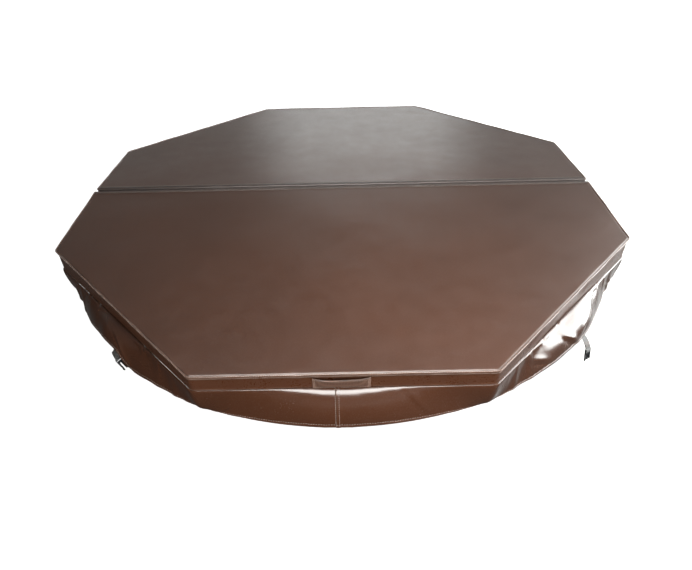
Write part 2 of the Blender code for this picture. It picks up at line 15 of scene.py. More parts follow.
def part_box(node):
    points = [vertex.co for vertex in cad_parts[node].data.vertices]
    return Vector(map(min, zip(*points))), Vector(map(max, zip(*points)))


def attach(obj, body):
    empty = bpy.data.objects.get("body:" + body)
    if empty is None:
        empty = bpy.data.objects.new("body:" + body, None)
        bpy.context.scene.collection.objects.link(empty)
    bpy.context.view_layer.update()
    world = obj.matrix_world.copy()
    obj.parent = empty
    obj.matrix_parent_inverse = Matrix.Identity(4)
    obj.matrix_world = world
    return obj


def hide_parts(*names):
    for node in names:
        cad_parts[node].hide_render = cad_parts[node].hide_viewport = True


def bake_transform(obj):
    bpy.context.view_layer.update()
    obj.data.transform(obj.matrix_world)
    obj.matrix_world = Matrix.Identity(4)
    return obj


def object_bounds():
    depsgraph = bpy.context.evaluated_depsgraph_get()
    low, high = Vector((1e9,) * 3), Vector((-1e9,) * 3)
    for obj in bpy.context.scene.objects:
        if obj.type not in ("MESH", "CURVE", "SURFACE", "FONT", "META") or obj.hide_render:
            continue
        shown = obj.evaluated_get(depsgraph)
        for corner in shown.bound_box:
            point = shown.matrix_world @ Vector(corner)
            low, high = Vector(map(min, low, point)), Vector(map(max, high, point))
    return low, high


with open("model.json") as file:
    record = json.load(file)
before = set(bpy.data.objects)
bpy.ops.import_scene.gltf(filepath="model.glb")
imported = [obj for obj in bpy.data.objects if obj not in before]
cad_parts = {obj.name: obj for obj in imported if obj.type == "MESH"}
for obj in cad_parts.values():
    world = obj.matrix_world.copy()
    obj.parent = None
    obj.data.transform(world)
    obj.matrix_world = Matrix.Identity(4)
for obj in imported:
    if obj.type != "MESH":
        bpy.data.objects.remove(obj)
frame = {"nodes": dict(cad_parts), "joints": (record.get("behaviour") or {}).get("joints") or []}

cad_low, cad_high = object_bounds()

# ---------------------------------------------------------------- dimensions

panel_low, panel_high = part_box("front_top_panel")
skirt_low, skirt_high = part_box("front_skirt_left")
wall_low, wall_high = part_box("rear_fold_wall")
seal_low, seal_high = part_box("steam_seal")
zip_low, zip_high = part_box("rear_zipper")
handle_low, handle_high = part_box("rear_handle")
grommet_low, grommet_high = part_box("rear_drain_grommet_right")
PIVOTS = {joint["name"]: joint["pos_m"] for joint in frame["joints"] if "pos_m" in joint}

CLOTH = 0.0010  # coated vinyl
SKIN = 0.0020  # the CAD panel that the vinyl stands for
APOTHEM = panel_high.x
FOLD_Y = -panel_high.y  # each half's fold wall stands this far from the middle
FOLD_TOP = panel_high.z
EDGE_TOP = panel_low.z + SKIN
SLOPE = (FOLD_TOP - EDGE_TOP) / (APOTHEM - FOLD_Y)
CORNER_ROUND = 0.024  # of the octagon's corners in plan
FOLD_ROUND = 0.006  # of the corners where the rim meets the fold
FOLD_ROLL = 0.007  # of the top where it turns down into the fold

SKIRT_WALL = 0.0025
SKIRT_TOP = 0.004  # the skirt is sewn in this far above the underside
HEM_RADIUS = -skirt_low.x - SKIRT_WALL
HEM_Z = skirt_low.z
SKIRT_OUT = 0.0016  # the skirt's face stands this far out from its seam line
LAP_X = -0.018  # the middle of the lapped seam in the skirt
LAP_HALF = 0.007
HEM_FOLD = 0.0105  # depth of the turned hem

WELT_RADIUS = 0.0028
WELT_OUT = 0.0029
FLANGE = 0.0095  # depth of the stitched edge under the welt

STRAP_LENGTH = 0.055  # along the webbing, hem pivot to buckle bar
WEBBING_WIDTH = 0.025
WEBBING = 0.0015
EYE_RADIUS = 0.0032
STRAPS = {  # degrees: facing, then lean at the hem, bar and buckle
    ("front", -1): (150.0, 14.0, -24.0, -46.0),
    ("front", 1): (-55.0, 60.0, 18.0, 10.0),
    ("rear", -1): (135.0, 4.0, 12.0, 12.0),
    ("rear", 1): (45.0, 8.0, -6.0, -6.0),
}

HALVES = ((-1, "front"), (1, "rear"))
ENDS = ((-1, "left"), (1, "right"))
UPRIGHT = Matrix.Rotation(radians(90), 4, "X")
ACROSS = Matrix.Rotation(radians(90), 4, "Z") @ UPRIGHT
UP = np.array([0.0, 0.0, 1.0])

rng = np.random.default_rng(11)


# ---------------------------------------------------------------- mesh helpers

def grid_faces(rows, columns, flip=False, wrap=False):
    """Quads of a grid of points stored row by row; wrap joins the last column to the first."""
    row, column = np.mgrid[0:rows - 1, 0:columns if wrap else columns - 1]
    beside = (column + 1) % columns
    quads = np.stack([
        row * columns + column, row * columns + beside,
        (row + 1) * columns + beside, (row + 1) * columns + column,
    ], axis=-1).reshape(-1, 4)
    return quads[:, ::-1] if flip else quads


def add_object(name, data):
    obj = bpy.data.objects.new(name, data)
    bpy.context.scene.collection.objects.link(obj)
    return obj


def add_mesh(name, points, faces, material, wear_and_highlight=None, outward=False):
    """A smooth-shaded object, with a value per point that the vinyl materials read to pale the colour:
    rubbed wear, and painted highlight where edges catch the light.
    """
    mesh = bpy.data.meshes.new(name)
    mesh.from_pydata(np.reshape(points, (-1, 3)).tolist(), [], [list(map(int, f)) for f in faces])
    if wear_and_highlight is not None:
        layer = mesh.attributes.new("wear_and_highlight", "FLOAT", "POINT")
        layer.data.foreach_set("value", np.ravel(wear_and_highlight).astype(np.float32))
    if outward:
        solid = bmesh.new()
        solid.from_mesh(mesh)
        bmesh.ops.recalc_face_normals(solid, faces=solid.faces)
        solid.to_mesh(mesh)
        solid.free()
    mesh.shade_smooth()
    mesh.materials.append(material)
    return add_object(name, mesh)


def thicken(obj, thickness=CLOTH, offset=-1.0):
    layer = obj.modifiers.new("cloth thickness", "SOLIDIFY")
    layer.thickness, layer.offset = thickness, offset


def fit(obj, body, slot, *nodes):
    """The piece rides on a body and stands for these CAD nodes, which it hides. slot is not used."""
    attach(obj, body)
    if nodes:
        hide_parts(*nodes)


def loft(name, sections, material, wear_and_highlight=None):
    """Closed loops joined along their length, with a cap at each end."""
    rings, sides = sections.shape[:2]
    faces = [*grid_faces(rings, sides, wrap=True), range(sides), range((rings - 1) * sides, rings * sides)]
    return add_mesh(name, sections, faces, material, wear_and_highlight, outward=True)


def half_cloth(half, name, node, slot, points, faces, material, wear_and_highlight=None, **thickness):
    """A sheet of cloth that rides on its half and stands for one CAD node."""
    cloth = add_mesh(f"{half}_{name}", points, faces, material, wear_and_highlight)
    thicken(cloth, **thickness)
    fit(cloth, half + "_half", slot, f"{half}_{node}")
    return cloth


def unit(vectors):
    return vectors / np.maximum(np.linalg.norm(vectors, axis=-1, keepdims=True), 1e-12)


def xyz(x, y, z):
    """Points from coordinates that are arrays or single numbers."""
    return np.stack(np.broadcast_arrays(x, y, z), axis=-1)


def lengths_along(line):
    steps = np.linalg.norm(np.diff(line, axis=0), axis=1)
    return np.concatenate([[0.0], np.cumsum(steps)])


def at_lengths(line, values, places):
    """Values given at a line's points, read at these lengths along it."""
    along = lengths_along(line)
    return np.column_stack([np.interp(places, along, part) for part in np.transpose(values)])


def smooth(values, low, high):
    share = np.clip((np.asarray(values, float) - low) / (high - low), 0.0, 1.0)
    return share * share * (3.0 - 2.0 * share)


def catmull(values, places):
    """A smooth curve through values[0], values[1] ..., read at fractional places."""
    last = len(values) - 1
    base = np.clip(np.floor(places).astype(int), 0, last - 1)
    t = (places - base).reshape((-1,) + (1,) * (values.ndim - 1))
    p0, p1 = values[np.maximum(base - 1, 0)], values[base]
    p2, p3 = values[base + 1], values[np.minimum(base + 2, last)]
    return 0.5 * (
        2 * p1 + (p2 - p0) * t + (2 * p0 - 5 * p1 + 4 * p2 - p3) * t ** 2
        + (3 * p1 - p0 - 3 * p2 + p3) * t ** 3
    )


def refined(grid, rows, columns):
    """A grid of points read smoothly at fractional rows and columns."""
    return np.swapaxes(catmull(np.swapaxes(catmull(grid, rows), 0, 1), columns), 0, 1)


def grid_normals(grid):
    """Unit normals of a grid: down the rows crossed with along the columns."""
    return unit(np.cross(np.gradient(grid, axis=0), np.gradient(grid, axis=1)))


def ripples(count, shortest, longest, height, stretch=(1.0, 1.0)):
    """A gentle irregular relief: a sum of waves, as a function of plan position."""
    lengths = rng.uniform(shortest, longest, count)
    turns = rng.uniform(0, 2 * pi, count)
    phases = rng.uniform(0, 2 * pi, count)
    heights = height * rng.uniform(0.5, 1.0, count) / sqrt(count)

    def relief(x, y):
        total = np.zeros(np.shape(x))
        for length, turn, phase, tall in zip(lengths, turns, phases, heights):
            way = x / stretch[0] * cos(turn) + y / stretch[1] * sin(turn)
            total = total + tall * np.sin(2 * pi * way / length + phase)
        return total

    return relief


class Threads:
    """Stitches collected into one mesh."""

    STATIONS = np.array([-0.5, -0.33, 0.0, 0.33, 0.5])
    SINK = np.array([-0.75, 0.25, 0.45, 0.25, -0.75])
    GIRTH = np.array([0.7, 1.0, 1.0, 1.0, 0.7])
    SIDES = 5

    def __init__(self):
        self.points = []

    def sew(self, line, facing, pitch=0.0065, length=0.0047, width=0.0010):
        """A row of stitches along a line that lies on the cloth; facing is the cloth's normal."""
        facing = np.broadcast_to(facing, line.shape)
        places = np.arange(pitch / 2, lengths_along(line)[-1] - pitch / 4, pitch)
        reach = pitch * 0.3
        centre = at_lengths(line, line, places)
        along = unit(at_lengths(line, line, places + reach) - at_lengths(line, line, places - reach))
        up = unit(at_lengths(line, facing, places))
        up = unit(up - along * np.sum(up * along, axis=1, keepdims=True))
        self.place(centre, along, up, length, width)

    def place(self, centre, along, up, length, width):
        turns = 2 * pi * np.arange(self.SIDES) / self.SIDES
        beside = np.cross(along, up)[:, None, None]
        centre, along, up = (part[:, None, None] for part in (centre, along, up))
        station, sink = ((part * size)[:, None, None] for part, size in (
            (self.STATIONS, length), (self.SINK, width)))
        girth = (self.GIRTH * width / 2)[:, None, None]
        self.points.append(
            centre + along * station + up * (sink + girth * np.cos(turns)[:, None])
            + beside * girth * np.sin(turns)[:, None])

    def finish(self, name, material):
        points = np.concatenate(self.points)
        rings, sides = len(self.STATIONS), self.SIDES
        one = [*grid_faces(rings, sides, wrap=True), range(sides)[::-1],
               range((rings - 1) * sides, rings * sides)]
        faces = [[i + rings * sides * n for i in f] for n in range(len(points)) for f in one]
        return add_mesh(name, points, faces, material, outward=True)


# ---------------------------------------------------------------- materials

def node(tree, kind, settings=None, **inputs):
    """A shader node. An input is a value or a socket; _0 names the first input, and so on."""
    made = tree.nodes.new("ShaderNode" + kind)
    for name, value in (settings or {}).items():
        setattr(made, name, value)
    for name, value in inputs.items():
        socket = made.inputs[int(name[1:]) if name[0] == "_" else name.replace("_", " ")]
        if isinstance(value, bpy.types.NodeSocket):
            tree.links.new(value, socket)
        else:
            socket.default_value = value
    return made


def mapped(tree, value, low, high, from_low=0.0, from_high=1.0):
    return node(
        tree, "MapRange", Value=value, From_Min=from_low, From_Max=from_high, To_Min=low, To_Max=high,
    ).outputs["Result"]


def mixed(tree, factor, *tones):
    first, second = ((*tone, 1.0) if isinstance(tone, tuple) else tone for tone in tones)
    return node(tree, "Mix", {"data_type": "RGBA"}, _0=factor, _6=first, _7=second).outputs[2]


def maths(tree, operation, first, second):
    return node(tree, "Math", {"operation": operation}, _0=first, _1=second).outputs[0]


def shaded(colour, share):
    return tuple(channel * share for channel in colour)


def principled(name, metallic=0.0, **constants):
    material = bpy.data.materials.new(name)
    material.use_nodes = True
    tree = material.node_tree
    shader = tree.nodes["Principled BSDF"]
    for key, value in {"Metallic": metallic, **constants}.items():
        shader.inputs[key.replace("_", " ")].default_value = value
    return material, tree, shader, node(tree, "TexCoord").outputs["Object"]


def noise(tree, place, scale, detail=3.0, roughness=0.5):
    return node(tree, "TexNoise", Vector=place, Scale=scale, Detail=detail, Roughness=roughness).outputs[0]


def bumped(tree, strength, distance, height, **before):
    bump = node(tree, "Bump", Strength=strength, Distance=distance, Height=height, **before)
    return bump.outputs["Normal"]


def wired(made, tone, roughness, normal):
    """The material of principled's tuple, with these joined to its shader."""
    material, tree, shader, _ = made
    for name, socket in (("Base Color", tone), ("Roughness", roughness), ("Normal", normal)):
        tree.links.new(socket, shader.inputs[name])
    return material


def vinyl(name, colour, roughness, grain=0.0017, relief=0.3, coat=0.0):
    """Coated vinyl: pebbled grain, cloudy tone, dull and shiny patches, and paler edges, partly rubbed wear
    and partly painted highlight.
    """
    made = _, tree, _, place = principled(name, Coat_Weight=coat, Coat_Roughness=0.22)
    cloud = noise(tree, place, 2.6, 5.0, 0.6)
    smear = noise(tree, place, 14.0, 4.0, 0.6)
    dust = noise(tree, place, 240.0, 2.0)
    wear_and_highlight = node(tree, "Attribute", {"attribute_name": "wear_and_highlight"}).outputs["Fac"]
    tone = mixed(tree, mapped(tree, cloud, 0, 1, 0.3, 0.7), shaded(colour, 0.92), shaded(colour, 1.07))
    tone = mixed(tree, mapped(tree, dust, 0, 0.04, 0.45, 0.8), tone, (0.32, 0.27, 0.24))
    # Paled by the per-point value: rubbed wear at edges and seams, and painted highlight on the piping and
    # on the flange ridge under it.
    worn_and_highlit = maths(tree, "MULTIPLY", wear_and_highlight, mapped(tree, smear, 0.15, 0.75, 0.3, 0.7))
    tone = mixed(tree, worn_and_highlit, tone, (0.30, 0.22, 0.18))
    dull = mapped(tree, smear, roughness - 0.02, roughness + 0.04, 0.3, 0.7)
    dull = maths(tree, "ADD", dull, mapped(tree, dust, -0.03, 0.05, 0.3, 0.7))
    pebbles = mapped(tree, cell_edges(tree, place, grain), 0, 1, 0.0, 0.28)
    fine = bumped(tree, relief, 0.00022, pebbles)
    return wired(made, tone, dull, bumped(tree, 0.22, 0.0003, noise(tree, place, 75.0), Normal=fine))


def weave(name, colour, pitch, roughness, turn=(0.0, 0.0, 0.0), sheen=0.0, contrast=0.35):
    """Woven cloth: two sets of threads that pass over and under each other."""
    made = _, tree, _, place = principled(name, Sheen_Weight=sheen, Sheen_Roughness=0.4)
    turned = node(tree, "Mapping", Vector=place, Rotation=turn).outputs[0]
    fuzz = noise(tree, place, 900.0, 2.0)
    cloud = noise(tree, place, 9.0, 4.0)
    waves = [node(
        tree, "TexWave", {"bands_direction": direction, "wave_profile": "SIN"},
        Vector=turned, Scale=0.3142 / pitch, Distortion=0.4, Detail=1.0,
    ).outputs["Fac"] for direction in "XYZ"]
    threads = maths(tree, "MULTIPLY", maths(tree, "MAXIMUM", waves[0], waves[1]), waves[2])
    height = maths(tree, "ADD", threads, mapped(tree, fuzz, 0.0, 0.5))
    # Painted shade and highlight: the colour follows the threads' height, darker in the dips between threads
    # and lighter on their tops.
    dark = mapped(tree, height, 0.0, 1.0, 0.2, 1.2)
    tone = mixed(tree, dark, shaded(colour, 1 - contrast), shaded(colour, 1 + contrast))
    tone = mixed(tree, mapped(tree, cloud, 0.0, 0.12, 0.3, 0.7), tone, shaded(colour, 0.7))
    dull = mapped(tree, fuzz, roughness - 0.06, roughness + 0.1)
    return wired(made, tone, dull, bumped(tree, 0.5, pitch * 0.2, height))


SPARK_SCALE = 700.0


def moulded(name, colour, roughness, metallic=0.0, relief=0.00005):
    """Moulded plastic or cast metal: faint spark texture, uneven gloss and small scuffs."""
    made = _, tree, _, place = principled(name, metallic)
    patch = noise(tree, place, SPARK_SCALE / 12, 4.0, 0.65)
    tone = mixed(tree, mapped(tree, patch, 0, 1, 0.35, 0.7), shaded(colour, 0.85), shaded(colour, 1.3))
    dull = mapped(tree, patch, roughness - 0.06, roughness + 0.06, 0.3, 0.7)
    return wired(made, tone, dull, bumped(tree, 0.4, relief, noise(tree, place, SPARK_SCALE)))


def cell_edges(tree, place, cell):
    return node(
        tree, "TexVoronoi", {"feature": "DISTANCE_TO_EDGE"}, Vector=place, Scale=1 / cell,
    ).outputs["Distance"]


def spangled(name, colour, roughness, cell, metallic, contrast):
    """Cells with an edge between them: zinc spangle on steel, or the beads of moulded foam."""
    made = _, tree, _, place = principled(name, metallic)
    cells = node(tree, "TexVoronoi", Vector=place, Scale=1 / cell).outputs["Color"]
    pick = node(tree, "SeparateColor", Color=cells).outputs[0]
    tone = mixed(tree, pick, shaded(colour, 1 - contrast), shaded(colour, 1 + contrast))
    edges = mapped(tree, cell_edges(tree, place, cell), 0, 1, 0.0, 0.25)
    dull = mapped(tree, pick, roughness - 0.08, roughness + 0.1)
    return wired(made, tone, dull, bumped(tree, 0.4, cell * 0.06, edges))


def clear_film(name):
    made = _, tree, _, place = principled(name, Transmission_Weight=0.75, IOR=1.45)
    crumple = noise(tree, place, 35.0, 5.0, 0.65)
    tone = mixed(tree, crumple, (0.80, 0.84, 0.86), (0.92, 0.95, 0.96))
    return wired(made, tone, mapped(tree, crumple, 0.12, 0.35), bumped(tree, 0.6, 0.001, crumple))


BROWN = (0.082, 0.032, 0.0165)
TOP_VINYL = vinyl("top_vinyl", BROWN, 0.34)
# The hinge strip takes a much darker copy of the brown vinyl: painted shade of the groove between the
# halves.
SHADED_HINGE_VINYL = vinyl("hinge_vinyl", shaded(BROWN, 0.42), 0.42)
SIDE_VINYL = vinyl("side_vinyl", shaded(BROWN, 0.95), 0.28, relief=0.15)
SKIRT_VINYL = vinyl("skirt_vinyl", shaded(BROWN, 0.80), 0.20, relief=0.06, coat=0.15)
# The piping takes a lighter copy of the brown vinyl: painted highlight of the bright line along the rim.
HIGHLIT_WELT_VINYL = vinyl("welt_vinyl", shaded(BROWN, 1.25), 0.22, coat=0.3)
THREAD = weave("seam_thread", (0.42, 0.33, 0.29), 0.0012, 0.55, sheen=0.2)
HANDLE_WEAVE = weave("handle_weave", (0.15, 0.085, 0.062), 0.0042, 0.42, contrast=0.75)
UNDERSIDE = weave("underside_fabric", (0.20, 0.20, 0.21), 0.0024, 0.62, turn=(0.62, 0.50, 0.0))
ZIP_TAPE = weave("zip_tape", (0.020, 0.020, 0.022), 0.0014, 0.7)
ZIP_METAL = moulded("zip_metal", (0.05, 0.05, 0.052), 0.35, metallic=0.7)
WEBBING_CLOTH = weave("webbing", (0.055, 0.052, 0.052), 0.0016, 0.55, sheen=0.35, contrast=0.5)
BUCKLE_PLASTIC = moulded("buckle_plastic", (0.010, 0.011, 0.013), 0.28)
BRASS = moulded("brass_eyelet", (0.62, 0.47, 0.22), 0.30, metallic=1.0, relief=0.00002)
SEAL_CLOTH = vinyl("seal_pad", (0.13, 0.13, 0.135), 0.55, grain=0.0012)
STEEL = spangled("galvanised_steel", (0.52, 0.54, 0.56), 0.38, 0.009, 1.0, 0.18)
FOAM = spangled("foam", (0.86, 0.86, 0.84), 0.75, 0.0035, 0.0, 0.04)
FILM = clear_film("film")


# ---------------------------------------------------------------- the cover's shape

def top_height(y):
    return FOLD_TOP - SLOPE * (abs(y) - FOLD_Y)


def edge_path(side, inset=0.0, step=0.010, round_fold=True):
    """Plan points and outward directions along a half's rim, from its left fold end to its right.

    With round_fold the rim turns in at both ends to meet the fold wall.
    """
    reach = APOTHEM - inset
    radius = CORNER_ROUND - inset
    centre = (reach - radius) / cos(radians(22.5))
    bend, quarter, count = (max(FOLD_ROUND - inset, 0.0005), 90, 7) if round_fold else (0.0, 0, 1)
    arcs = [(bend - reach, FOLD_Y + bend, bend, 180 + quarter, 180, count)]
    for start in (180, 135, 90, 45):
        middle = radians(start - 22.5)
        arcs.append((centre * cos(middle), centre * sin(middle), radius, start, start - 45, 9))
    arcs.append((reach - bend, FOLD_Y + bend, bend, 0, -quarter, count))
    points, outward = [], []
    for x, y, bend, first, last, steps in arcs:
        turns = np.radians(np.linspace(first, last, steps))
        facing = np.column_stack([np.cos(turns), np.sin(turns)])
        stretch = np.array([x, y]) + bend * facing
        if points:
            run = stretch[0] - points[-1][-1]
            pieces = ceil(np.linalg.norm(run) / step)
            points.append(points[-1][-1] + np.arange(1, pieces)[:, None] / pieces * run)
            outward.append(np.repeat(facing[:1], pieces - 1, axis=0))
        points.append(stretch)
        outward.append(facing)
    flip = np.array([1.0, side])
    return np.concatenate(points) * flip, np.concatenate(outward) * flip


def half_grid(side, rows, margins, count, inset=0.0):
    """Plan points over one half. rows are distances from the middle, margins are distances in
    from the rim of the outer columns, and count more columns fill what is between them."""
    rim, _ = edge_path(1, inset)
    right = rim[len(rim) // 2:][::-1]
    breadth = np.interp(np.minimum(rows, right[-1, 1] - 1e-6), *right.T[::-1])[:, None]
    outer = breadth - np.array(margins)
    between = np.linspace(-1, 1, count + 2)[1:-1] * outer[:, -1:]
    x = np.concatenate([-outer, between, outer[:, ::-1]], axis=1)
    return x, np.repeat(side * rows[:, None], x.shape[1], axis=1)


def rim_distance(x, y):
    ways = np.radians([0, 45, 90, 135, 180])
    return np.min([APOTHEM - x * np.cos(a) - abs(y) * np.sin(a) for a in ways], axis=0)


def fold_drop(y, roll=FOLD_ROLL):
    """How far the top has turned down where it rolls into the fold."""
    short = np.clip(FOLD_Y + roll - abs(y), 0, roll)
    return roll - np.sqrt(roll ** 2 - short ** 2)


SWELL = {side: ripples(9, 0.26, 0.80, 0.0010) for side, _ in HALVES}
CREEP = {side: ripples(10, 0.06, 0.14, 0.00012, (3.0, 1.0)) for side, _ in HALVES}
PUCKER = ripples(5, 0.020, 0.042, 0.00030)
SWAY = ripples(5, 0.09, 0.30, 0.0011)


def rim_sway(x, y):
    """How the sewn rim wanders up and down. It's drawn down on each side of the front handle."""
    drawn = 0.0022 * np.exp(-((x + 0.135) / 0.020) ** 2) + 0.0016 * np.exp(-((x - 0.095) / 0.016) ** 2)
    return np.clip(SWAY(x, y), -0.0008, 0.0012) - np.where(y < -1.0, drawn, 0.0)


def top_surface(side, x, y):
    """Height of the top: foam under slack vinyl, pulled down at the welt and at the fold."""
    inward = rim_distance(x, y)
    free = smooth(inward, 0.0, 0.09) * smooth(abs(y), FOLD_Y, FOLD_Y + 0.10)
    relief = (SWELL[side](x, y) + CREEP[side](x, y)) * free
    pull = PUCKER(x, y) * np.exp(-np.maximum(inward, 0) / 0.018)
    edge = 0.0022 * (1 - smooth(inward, -0.002, 0.0050))
    sway = rim_sway(x, y) * np.exp(-np.maximum(inward, 0) / 0.010)
    return top_height(y) + relief + pull + sway - edge - fold_drop(y)


def build_top(side, half):
    rows = np.concatenate([
        FOLD_Y + FOLD_ROLL * (1 - np.cos(np.linspace(0, pi / 2, 7))),
        np.linspace(FOLD_Y + FOLD_ROLL + 0.004, APOTHEM - 0.030, 66),
        APOTHEM - np.array([0.023, 0.017, 0.012, 0.0085, 0.006, 0.004, 0.0025, 0.0012, 0.0004, 0]),
    ])
    margins = [0, 0.0015, 0.003, 0.005, 0.0075, 0.011, 0.016, 0.023]
    x, y = half_grid(side, rows, margins, 128)
    wear_and_highlight = 0.4 * np.exp(-np.maximum(rim_distance(x, y), 0) / 0.0025)
    top = half_cloth(half, "top", "top_panel", "top_vinyl", xyz(x, y, top_surface(side, x, y)),
                     grid_faces(*x.shape, flip=side < 0), TOP_VINYL, wear_and_highlight)


BAND_WAVE = ripples(7, 0.05, 0.16, 0.0009)


def build_side_band(side, half, threads):
    """The upright wall, with the stitched flange under the welt and a soft bottom edge."""
    rim, outward = edge_path(side, step=0.008)
    along = lengths_along(rim)
    sway = rim_sway(*rim.T)
    high = top_height(rim[:, 1]) - 0.0023 - fold_drop(rim[:, 1]) * 0.6
    from_top = np.array([0, 0.0015, 0.0040, 0.0060, 0.0068, 0.0080, 0.0092, 0.0101, 0.0110, 0.0135, 0.018])
    stands_out = np.array([4, 2, 1, 5, 15, 22, 21, 13, 2, 0, 0]) * 0.0001
    low_rows = np.array([0.0095, 0.006, 0.0035, 0.0018, 0.0006, 0.0])
    low_out = np.array([0.4, 1.0, 1.0, 0.2, -1.6, -3.6]) * 0.001
    middle = np.linspace(0, 1, 9)[1:-1]
    upper = high + sway - from_top[:, None]
    lower = np.repeat(low_rows[:, None], len(along), axis=1)
    z = np.concatenate([upper, upper[-1] + (lower[0] - upper[-1]) * middle[:, None], lower])
    out = np.concatenate([stands_out, 0.0004 * np.sin(middle * pi), low_out])
    free = np.concatenate([
        smooth(from_top, 0.008, 0.03), np.ones(len(middle)), smooth(low_rows, 0.0, 0.02)])
    wave = np.clip(BAND_WAVE(along[None, :], z * 1.5) * free[:, None], -0.0006, 0.0014)
    pucker = 0.00025 * np.sin(2 * pi * along / 0.0195 + 2 * np.sin(along * 9)) * np.exp(
        -((high - z - FLANGE) / 0.006) ** 2)
    push = out[:, None] + wave + pucker
    points = xyz(*(rim[None] + outward[None] * push[..., None]).transpose(2, 0, 1), z)
    wear_and_highlight = np.zeros(z.shape)
    # Painted highlight: the stitched flange's ridge, some 7 to 8 mm under the top, is paled most; the lowest
    # rows are paler along the bottom edge.
    wear_and_highlight[:8] = np.array([0.1, 0.1, 0.1, 0.4, 0.8, 0.8, 0.4, 0.1])[:, None]
    wear_and_highlight[-5:] = 0.35
    band = half_cloth(half, "valance", "side_band", "side_vinyl", points,
                      grid_faces(*z.shape, flip=side < 0), SIDE_VINYL, wear_and_highlight)
    facing = xyz(*outward.T, 0.0)
    threads.sew(points[6], facing)
    out, up = WELT_OUT + 0.75 * WELT_RADIUS, 0.70 * WELT_RADIUS
    piping = xyz(*(rim + outward * out).T, welt_height(rim) + up)[4:-4]
    threads.sew(piping, unit(facing[4:-4] + [0, 0, 0.9]), pitch=0.0070, length=0.0042, width=0.0013)


def welt_height(rim):
    return top_height(rim[:, 1]) - 0.0017 + rim_sway(*rim.T) - fold_drop(rim[:, 1])


def build_welt(side, half):
    """Piping: a cord in a strip of vinyl, drawn in slightly at each stitch."""
    rim, outward = edge_path(side, step=0.0033)
    along = lengths_along(rim)
    end = np.minimum(along, along[-1] - along)
    radius = WELT_RADIUS * (0.35 + 0.65 * smooth(end, 0.0, 0.010))
    radius = radius * (1 + 0.09 * np.sin(2 * pi * along / 0.0066)
                       + 0.03 * np.sin(along * 71) * np.sin(along * 23))
    out = WELT_OUT * smooth(end, 0.0, 0.012) + 0.0006 * np.sin(along * 31 + 2 * np.sin(along * 5))
    centre = xyz(*(rim + outward * out[:, None]).T, welt_height(rim))
    turns = 2 * pi * np.arange(12) / 12
    ring = xyz(*outward.T, 0.0)[:, None] * np.cos(turns)[:, None] + UP * np.sin(turns)[:, None]
    # Painted highlight: the cord is paled more on its upper side, where light from above falls, over an even
    # share of rubbed wear.
    wear_and_highlight = np.repeat(0.25 + 0.2 * np.sin(turns)[None, :], len(along), axis=0)
    welt = loft(half + "_welt", centre[:, None] + radius[:, None, None] * ring, HIGHLIT_WELT_VINYL, wear_and_highlight)
    fit(welt, half + "_half", "welt_vinyl", half + "_top_welt")


# ---------------------------------------------------------------- skirt

SIM_ROWS = 13
SIM_STEP = 0.0105
SIM_FRAMES = 26
SIM_LIMIT = 0.0070  # furthest that the simulation may move a point
STRAP_PLACES = {  # metres from the lapped seam to each strap
    (-1, -1): 0.856, (-1, 1): 0.954, (1, -1): 0.866, (1, 1): 0.902,
}
HITCHED = (-1, -1)  # the strip whose hem is caught up beside its strap
HITCH = 0.26  # share of the skirt's fall that is caught up
HITCH_RISE = (31.0, 45.0)  # degrees round from the fold
HITCH_DROP = (47.3, 50.6)


def skirt_line(side, end):
    """Plan points of a skirt strip's top edge, from the fold to just past the lapped seam."""
    rim, _ = edge_path(side, -0.0003, step=0.005, round_fold=False)
    if end > 0:
        rim = rim[::-1]
    past = LAP_X - end * LAP_HALF
    keep = np.sign(past - rim[:, 0]) == np.sign(past - rim[0, 0])
    line = np.vstack([rim[keep], [past, side * (APOTHEM + 0.0003)]])
    length = lengths_along(line)[-1]
    return at_lengths(line, line, np.linspace(0, length, round(length / SIM_STEP) + 1))


def skirt_shape(side, end):
    """The skirt before it is slackened: it rolls out over the tub's lip on the flats, and drops
    and draws in at the corners, to a hem that is round."""
    top = skirt_line(side, end)
    share = np.linspace(0, 1, len(top))
    first = asin(FOLD_Y / HEM_RADIUS)
    last = acos(end * top[-1, 0] / HEM_RADIUS)
    angle = first + (last - first) * share
    hem = HEM_RADIUS * np.column_stack([end * np.cos(angle), side * np.sin(angle)])
    spread = np.linalg.norm(hem, axis=1) - np.linalg.norm(top, axis=1) + 0.028
    roll = np.clip(spread / 0.088, 0, 1)[None, :]
    hitch = np.zeros(len(top))
    if (side, end) == HITCHED:
        round_hem = np.degrees(angle)
        hitch = HITCH * smooth(round_hem, *HITCH_RISE) * (1 - smooth(round_hem, *HITCH_DROP))
    fall = np.linspace(0, 1, SIM_ROWS)[:, None] * (1 - hitch[None, :])
    turn = fall * pi / 2
    outward = roll * np.sin(turn) + (1 - roll) * (1 - np.cos(turn))
    downward = roll * (1 - np.cos(turn)) + (1 - roll) * np.sin(turn)
    plan = top[None] + (hem - top)[None] * outward[..., None]
    z = SKIRT_TOP - (SKIRT_TOP - HEM_Z) * downward
    return np.concatenate([plan, z[..., None]], axis=-1)


CLOTH_SETTINGS = {
    "quality": 6, "mass": 0.25, "tension_stiffness": 25, "compression_stiffness": 25,
    "shear_stiffness": 12, "bending_stiffness": 3.0, "shrink_min": -0.013, "vertex_group_mass": "pins",
}


def add_cloth(name, shape):
    """A skirt strip with the Cloth modifier: sewn at the top, cut a little fuller than it hangs."""
    rows, columns = shape.shape[:2]
    strip = add_mesh("slack_" + "_".join(map(str, name)), shape, grid_faces(rows, columns), SKIRT_VINYL)
    pins = strip.vertex_groups.new(name="pins")
    for row, column in np.ndindex(rows, columns):
        held = 1.0 if row == 0 or column >= columns - 4 else {1: 0.6, rows - 1: 0.12}.get(row, 0.0)
        if held:
            pins.add([row * columns + column], held, "REPLACE")
    cloth = strip.modifiers.new("cloth", "CLOTH")
    for setting, value in CLOTH_SETTINGS.items():
        setattr(cloth.settings, setting, value)
    cloth.settings.effector_weights.gravity = 0.6
    cloth.collision_settings.use_collision = False
    return strip


